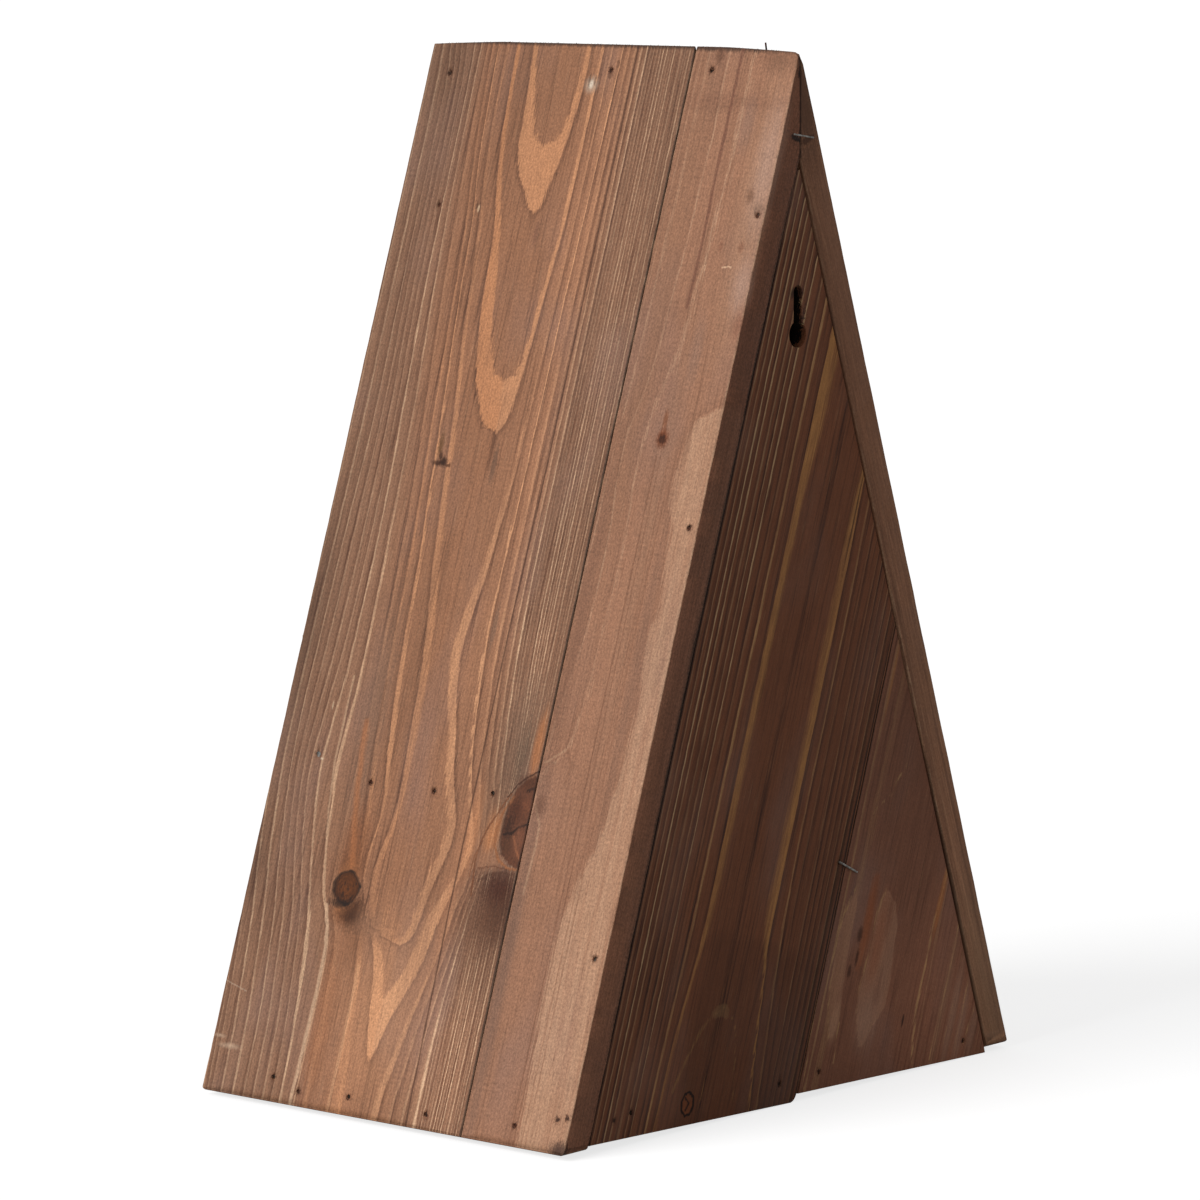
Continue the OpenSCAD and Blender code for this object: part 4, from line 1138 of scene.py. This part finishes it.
back_main = wood(
    "stained back board", rgb("#7c4a30"), rgb("#44261a"), rgb("#b8946e"), rgb("#ab7440"), late=2.0,
    late_mix=0.6, fibre=0.24, ripple=0.04, cloud=0.16, cool=0.3, vary=0.35,
    brads=[(105.5, 375.5), (21, 400.5), (12, 405)], arris=0.2,
    inlays=[(1, rgb("#a17448"), 0.6), (0, rgb("#a17a52"), 0.35)],
    spots=[
        mark(78.5, 160, 0.4, 22, "#2c1a13", 0.7, 0.5), mark(114, 290, 1.0, 105, "#33200f", 0.5, 0.7),
        # painted shadow: the dark line at across 0.2 stands in for the shade in the gap between the
        # back and the right side panel; the line at 116.6 is the dark joint between the back's boards
        mark(116.6, 290, 0.5, 130, "#190d08", 0.8, 0.5), mark(0.2, 250, 1.1, 260, "#190d08", 0.85, 0.5),
        # painted shade: a near-black oval over the keyhole's walls and two dark marks at its ragged top
        # stand in for the shade inside the hole
        ((20.8, 94, 8), (11, 18, 7.4), "#0c0604", 0.98, 0.08),
        mark(16.5, 86.5, 2.6, 2.2, "#1a0f0a", 0.8, 0.6), mark(13.5, 88, 1.4, 2.0, "#1a0f0a", 0.7, 0.6),
    ],
    under=[
        mark(52.5, 392, 3.8, 4.4, "#8f4f2c", 0.85, 0.3), mark(52.5, 384, 2.6, 7, "#6e452c", 0.4, 0.9),
    ],
    strokes=[
        stroke(
            0.55, "#120805", 0.9, 0.6, (52.5, 387.4), (55.2, 388.8), (56.1, 392), (55.1, 395.4),
            (52.4, 396.6), (49.7, 395), (49, 391.8), (50, 388.8), (52.5, 387.4),
        ),
        stroke(0.45, "#120805", 0.8, 0.6, (50.6, 390), (53.2, 391.6), (52, 394.6)),
    ],
)


def back_shade(u, v, w):
    """Soft patches, and a darker foot below a ragged line."""
    soft = patches((65, 370, 55, 32, -0.1), (105, 300, 14, 90, -0.14), (60, 60, 50, 70, 0.12))
    below = np.clip((v - 322 - 5 * hills(u, 11, 7)) / 3, 0, 1)
    return soft(u, v, w) - 0.14 * below * np.clip((u - 44) / 3, 0, 1)


board(
    "back_main_board", "back_main_board", "house", "back_wood", BACK, (1.5, 3.0),
    planned_grain(BACK_PLAN), back_main, seed=41, shade=back_shade,
    inlay=figures(
        lines=[
            (0.9, [(64, 352), (56, 358), (52, 363), (48, 372), (45, 380), (42, 390)]),
            (0.8, [(66, 354), (72, 360), (75, 370), (78, 382), (80, 388)]),
        ],
        areas=[[(54, 358), (58, 353), (63, 351), (67, 354), (66, 358), (62, 357), (58, 359)]],
    ),
)

# The back's corner board: two ragged flames low down
CORNER_PLAN = {
    **even_plan(168),
    "left": {
        2: [(0, 128), (200, 128), (300, 126), (400, 124)],
        **straight(400, {3: (121, 121), 4: (116, 116)}),
    },
    "right": {
        2: [(0, 187), (300, 186), (400, 190)],
        **straight(400, {3: (199, 199), 4: (207, 207), 5: (213, 213), 6: (220, 220)}),
    },
    "left_look": {1: (0.1, 0.15, 0.4), 2: (0.14, 0.2, 0.5), 3: (0.4, 0.35, 0.4), 5: (0.4, 0.3, 0.4)},
    "right_look": {1: (0.1, 0.15, 0.4), 7: (0.16, 0.25, 0.5)},
}
FLAME_LEFT = [(128, 293), (125, 300), (122, 312), (122.5, 322), (124, 335), (127, 345), (130, 354)]
FLAME_RIGHT = [(147, 290), (144, 300), (144.5, 315), (143, 325), (142.5, 333), (144, 342)]
back_corner = wood(
    "stained back corner board", rgb("#855640"), rgb("#603a2a"), rgb("#a98463"), rgb("#b0804e"),
    late=2.0, late_mix=0.3, fibre=0.18, ripple=0.06, cloud=0.18, cool=0.45, arris=0.2, speck=0.4,
    brads=[(128, 366.5), (216.5, 338.5)],
    inlays=[(0, rgb("#a27459"), 0.65), (1, rgb("#b58a5e"), 0.65), (2, rgb("#96583a"), 0.4)],
    spots=[
        mark(148, 310, 3.4, 17, "#95573a", 0.5, 0.7), mark(151, 342, 6, 11, "#a07c68", 0.45, 0.9),
        mark(157, 322, 3.0, 13, "#8e6955", 0.4, 0.8), mark(139.5, 306, 2.6, 14, "#95552f", 0.5, 0.7),
        mark(126, 328, 2.2, 18, "#94674c", 0.45, 0.7), mark(131.5, 347, 2.4, 7, "#b08466", 0.5, 0.6),
        mark(152, 300, 2.0, 8, "#7c4a36", 0.4, 0.8), mark(154, 330, 2.0, 7, "#6e4536", 0.35, 0.8),
        mark(183, 288, 1.6, 13, "#a4663a", 0.7, 0.5), mark(206, 330, 2.2, 20, "#94705c", 0.5, 0.8),
        mark(213, 332, 2.2, 16, "#94705c", 0.5, 0.8), mark(198.5, 325, 2.0, 26, "#8f684f", 0.5, 0.8),
        mark(221, 334, 2.2, 10, "#94705c", 0.45, 0.8), mark(123, 212, 0.7, 14, "#ab7446", 0.6, 0.6),
        mark(136, 311, 1.5, 3.2, "#4a2a1c", 0.8, 0.5), mark(134, 326, 1.2, 2.4, "#4a2a1c", 0.8, 0.5),
        mark(137, 320, 0.8, 3.0, "#4a2a1c", 0.8, 0.5), mark(174.5, 338, 0.6, 2.4, "#2a1812", 0.8, 0.4),
        mark(140, 300, 2.5, 12, "#8a4a2a", 0.4, 0.7), mark(117.8, 250, 0.5, 140, "#190d08", 0.7, 0.5),
    ],
)
board(
    "back_corner_board", "back_corner_board", "house", "back_wood", BACK, (1.5, 3.0),
    planned_grain(CORNER_PLAN), back_corner, seed=51,
    shade=patches(
        (150, 200, 25, 60, -0.22), (205, 335, 40, 45, 0.45), (150, 330, 30, 40, 0.15),
        (160, 320, 60, 70, 0.06),
    ),
    inlay=figures(
        areas=[
            FLAME_LEFT + [(133, 352), (134.5, 345), (133, 335), (131, 320), (131, 300)],
            FLAME_RIGHT + [
                (148, 350), (150, 354), (153, 352), (155, 346), (158, 341), (161.5, 335), (161.5, 325),
                (160, 315), (159, 303), (155, 295),
            ],
        ],
        lines=[
            (0.7, [(143, 235), (143, 245), (139, 248), (138, 255), (134, 258), (128, 265)]),
            (0.9, FLAME_LEFT), (0.8, FLAME_RIGHT + [(150, 354)]), (0.8, [(134, 345), (136, 362)]),
            (1.0, [
                (183, 275), (182.5, 290), (181, 300), (182, 312), (181.5, 330), (183, 342), (186, 354),
            ]),
            (0.7, [(197.5, 292), (198, 310), (197.5, 330), (197, 350)]),
            (0.6, [(205, 305), (205, 330), (203, 345)]), (0.6, [(211, 312), (212.5, 330), (211, 345)]),
            (0.6, [(219, 325), (217, 340)]), (0.8, [(117, 340), (118.5, 360), (121, 375)]),
        ],
        patches=[[(136, 286), (141, 286), (141, 324), (137, 326)]],
    ),
)

# The front, the floor and the nest shelf
front_wood = wood(
    "stained front board", rgb("#865a42"), rgb("#593827"), rgb("#b89370"), rgb("#bd8455"), vary=0.5,
    knots=[(70, 300, 5.0, 5.6, *PLAIN_KNOT)],
)
inner_wood = wood(
    "inner board", rgb("#8c6147"), rgb("#644430"), rgb("#bd9a76"), rgb("#bd875a"), vary=0.5,
)
for name, body, heart, seed in (
    ("door_main_board", "door", 60, 61), ("door_corner_board", "door", 175, 71),
    ("gable_block", "house", 30, 81),
):
    board("front_" + name, name, body, "door_wood", FRONT, (3.0, 6.0), sawn_grain(heart, 18, 3.0, seed),
          front_wood, seed=seed)


def across_board(y, z):
    """A board on edge across the house, its face to the front."""
    return Place((-150, y, z), (0, 0, 1), (1, 0, 0), (0, 1, 0))


board(
    "front_tray_rail", "tray_rail", "house", "door_wood", across_board(-92, 0), (3.0, 6.0),
    sawn_grain(14, 26, 2.8, 91), front_wood, seed=91,
)
board(
    "inner_door_stop", "door_stop", "house", "inner_wood", across_board(-62, 280), (3.0, 6.0),
    sawn_grain(10, 30, 2.8, 95), inner_wood, seed=95,
)
for name, top, seed in (
    ("floor_front_board", 15.4, 101), ("floor_rear_board", 15.4, 111),
    ("nest_shelf_front_board", 128.5, 121), ("nest_shelf_rear_board", 128.5, 131),
):
    board("inner_" + name, name, "house", "inner_wood", level(top), (5.0, 10.0),
          sawn_grain(60 if "front" in name else 130, 22, 3.4, seed), inner_wood, seed=seed)

# Small wooden parts and metal, on the CAD's own meshes


def turned_wood(name, mid, deep, pale, factors):
    """Plain straight-grained wood for a small part; the grain runs where the factor is small."""
    f = Finish(name)
    at = f.tree.nodes.new("ShaderNodeTexCoord").outputs["Object"]
    streak = f.noise(at, factors, 3.0, 0.6)
    fine = f.noise(at, [3 * c for c in factors], 2.0, 0.6)
    cloud = f.noise(at, (60, 60, 60), 2.0)
    colour = f.blend(f.ease(streak, 0.3, 0.7), deep, mid)
    colour = f.blend(f.ease(fine, 0.5, 0.75, 0.0, 0.6), colour, pale)
    colour = f.brighten(colour, f.times(f.swing(cloud, 0.2), f.swing(fine, 0.12)))
    return f.finish(colour, f.swing(streak, 0.2), f.add(streak, fine), 0.06)


def worn_steel(name, bright, dark, rust, rust_from, rough):
    """Steel with a dull skin and rust where it stays damp."""
    f = Finish(name)
    at = f.tree.nodes.new("ShaderNodeTexCoord").outputs["Object"]
    grime = f.noise(at, (900, 900, 900), 3.0, 0.6)
    blotch = f.noise(at, (260, 260, 260), 3.0, 0.6, (3.0, 1.0, 2.0))
    rusty = f.ease(blotch, rust_from, rust_from + 0.12)
    colour = f.blend(f.ease(grime, 0.35, 0.65), bright, dark)
    colour = f.blend(rusty, colour, f.brighten(rust, f.swing(grime, 0.4)))
    f.put(f.shader.inputs["Metallic"], f.muladd(rusty, -0.85, 0.9))
    return f.finish(colour, f.muladd(rusty, 0.35, rough), grime, 0.02)


dressing = {
    "perch": turned_wood(
        "perch dowel", rgb("#b48a66"), rgb("#8d6648"), rgb("#caa884"), (1500, 60, 1500),
    ),
    "turn_button": turned_wood(
        "turn button wood", rgb("#8a6150"), rgb("#5f4034"), rgb("#a98870"), (60, 1200, 1200),
    ),
}
bright_steel = worn_steel(
    "bright steel", (0.5, 0.48, 0.45), (0.22, 0.2, 0.18), rgb("#5a3a28"), 0.62, 0.35,
)
brad_steel = worn_steel(
    "brad steel", (0.09, 0.07, 0.055), (0.035, 0.026, 0.02), rgb("#4a281a"), 0.42, 0.5,
)
for name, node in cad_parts.items():
    if name in dressing:
        finish = dressing[name]
    elif name in ("button_screw", "door_pivot_nails", "seam_staples"):
        finish = bright_steel
    elif "brads" in name:
        finish = brad_steel
    else:
        continue
    node.data.materials.clear()
    node.data.materials.append(finish)


# Rough fibres along the sawn ridge and on two arrises


def fibres(name, place, body, rows, finish, seed, bowed=False):
    """Torn wood fibres: each row gives the spot, how many, how far they spread and their length."""
    draw = np.random.RandomState(seed)
    bm = bmesh.new()
    for (u0, v0, w0), count, spread, long in rows:
        for _ in range(count):
            spot = np.array([u0, v0, w0]) + (draw.rand(3) * 2 - 1) * spread
            if bowed:
                spot[1] += max(0.0, ((spot[0] - DEPTH / 2) ** 2 / RIDGE_BOW - RIDGE_FLAT) / COS)
            reach = long * (0.4 + draw.rand())
            lean = np.array([draw.normal(0, 0.5), -1.0, draw.normal(0, 0.4)])
            lean = lean / np.linalg.norm(lean) * reach
            foot = place.origin + spot @ place.axes
            tip = Vector((lean @ place.axes) * MM)
            turn = tip.to_track_quat("Z", "Y").to_matrix().to_4x4()
            at = Matrix.Translation(Vector(foot * MM) + tip * 0.3) @ turn
            bmesh.ops.create_cone(
                bm, cap_ends=True, segments=3, radius1=0.14 * MM, radius2=0.03 * MM,
                depth=reach * MM, matrix=at,
            )
    obj = made(name, bm)
    obj.data.materials.append(finish)
    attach(obj, body)


fibre_dark = turned_wood(
    "dark torn fibres", rgb("#4a382c"), rgb("#2c2019"), rgb("#6b5442"), (900, 900, 900),
)
fibre_pale = turned_wood(
    "pale torn fibres", rgb("#9a8270"), rgb("#6a5444"), rgb("#b8a490"), (900, 900, 900),
)
fibres(
    "ridge_fibres_wide", RIGHT_SIDE, "house",
    [((67, 0.9, 0.6), 420, (65, 0.35, 0.3), 0.8)], fibre_dark, 201, bowed=True,
)
fibres(
    "ridge_fibres_narrow", RIGHT_SIDE, "house",
    [((156, 0.9, 0.6), 150, (21, 0.35, 0.3), 0.7)], fibre_dark, 202, bowed=True,
)
fibres("ridge_fibres_seam", RIGHT_SIDE, "house",
       [((92, COS / SIN * w + 0.1, w), 45, (91, 0.6, 0.3), 0.8) for w in range(1, 14)], fibre_dark, 205)
fibres(
    "front_edge_fibres", RIGHT_SIDE, "house",
    [((0.5, 242, 0.4), 9, (0.3, 1.6, 0.3), 1.4)], fibre_pale, 203,
)
fibres(
    "rear_edge_fibres", LEFT_SIDE, "house",
    [((182.9, 163, 0.4), 8, (0.2, 1.4, 0.3), 1.3)], fibre_pale, 204,
)


# Camera, light and floor

PHOTO_PIXELS = 1200
FOCAL_PIXELS = 5746.6
SENSOR = 36.0
CAMERA_PLACE = (1.69632, 1.42900, 0.46432)
CAMERA_LOOK = (-0.75742, -0.64097, -0.12436)
KEY_FROM = (0.82, -0.2, 0.55)
KEY_STRENGTH = 2.65
KEY_SPREAD = 35
ROOM_STRENGTH = 0.33
FLOOR_GREY = 0.38
FLOOR_GLOW = 0.75
FLOOR_SIZE = 30


def stand_camera():
    """The camera at the photograph's place, its lens worked out for a picture 1200 pixels wide."""
    camera = bpy.data.objects.new("camera", bpy.data.cameras.new("camera"))
    bpy.context.scene.collection.objects.link(camera)
    look = Vector(CAMERA_LOOK).normalized()
    right = look.cross(Vector((0, 0, 1))).normalized()
    up = right.cross(look)
    turn = Matrix((right, up, -look)).transposed().to_4x4()
    camera.matrix_world = Matrix.Translation(CAMERA_PLACE) @ turn
    camera.data.sensor_width = SENSOR
    camera.data.lens = FOCAL_PIXELS / PHOTO_PIXELS * SENSOR
    camera.data.clip_start = 0.05
    camera.data.clip_end = 100
    bpy.context.scene.camera = camera


def light_studio():
    """A broad soft key from the right side, a pale room and a pale floor."""
    scene = bpy.context.scene
    scene.view_settings.view_transform = "Standard"
    sun = bpy.data.lights.new("key", "SUN")
    sun.energy = KEY_STRENGTH
    sun.angle = math.radians(KEY_SPREAD)
    key = bpy.data.objects.new("key", sun)
    scene.collection.objects.link(key)
    key.rotation_euler = Vector(KEY_FROM).to_track_quat("Z", "Y").to_euler()
    world = bpy.data.worlds.new("room")
    scene.world = world
    world.use_nodes = True
    backdrop = world.node_tree.nodes["Background"]
    backdrop.inputs["Color"].default_value = (1, 1, 1, 1)
    backdrop.inputs["Strength"].default_value = ROOM_STRENGTH
    bm = bmesh.new()
    bmesh.ops.create_grid(bm, x_segments=1, y_segments=1, size=FLOOR_SIZE)
    floor = made("floor", bm)
    pale = Finish("pale floor")
    seen = pale.tree.nodes.new("ShaderNodeLightPath").outputs["Is Camera Ray"]
    pale.put(pale.shader.inputs["Emission Color"], (1, 1, 1))
    pale.put(pale.shader.inputs["Emission Strength"], pale.times(seen, FLOOR_GLOW))
    floor.data.materials.append(pale.finish((FLOOR_GREY, FLOOR_GREY, FLOOR_GREY), 0.9))


stand_camera()
light_studio()
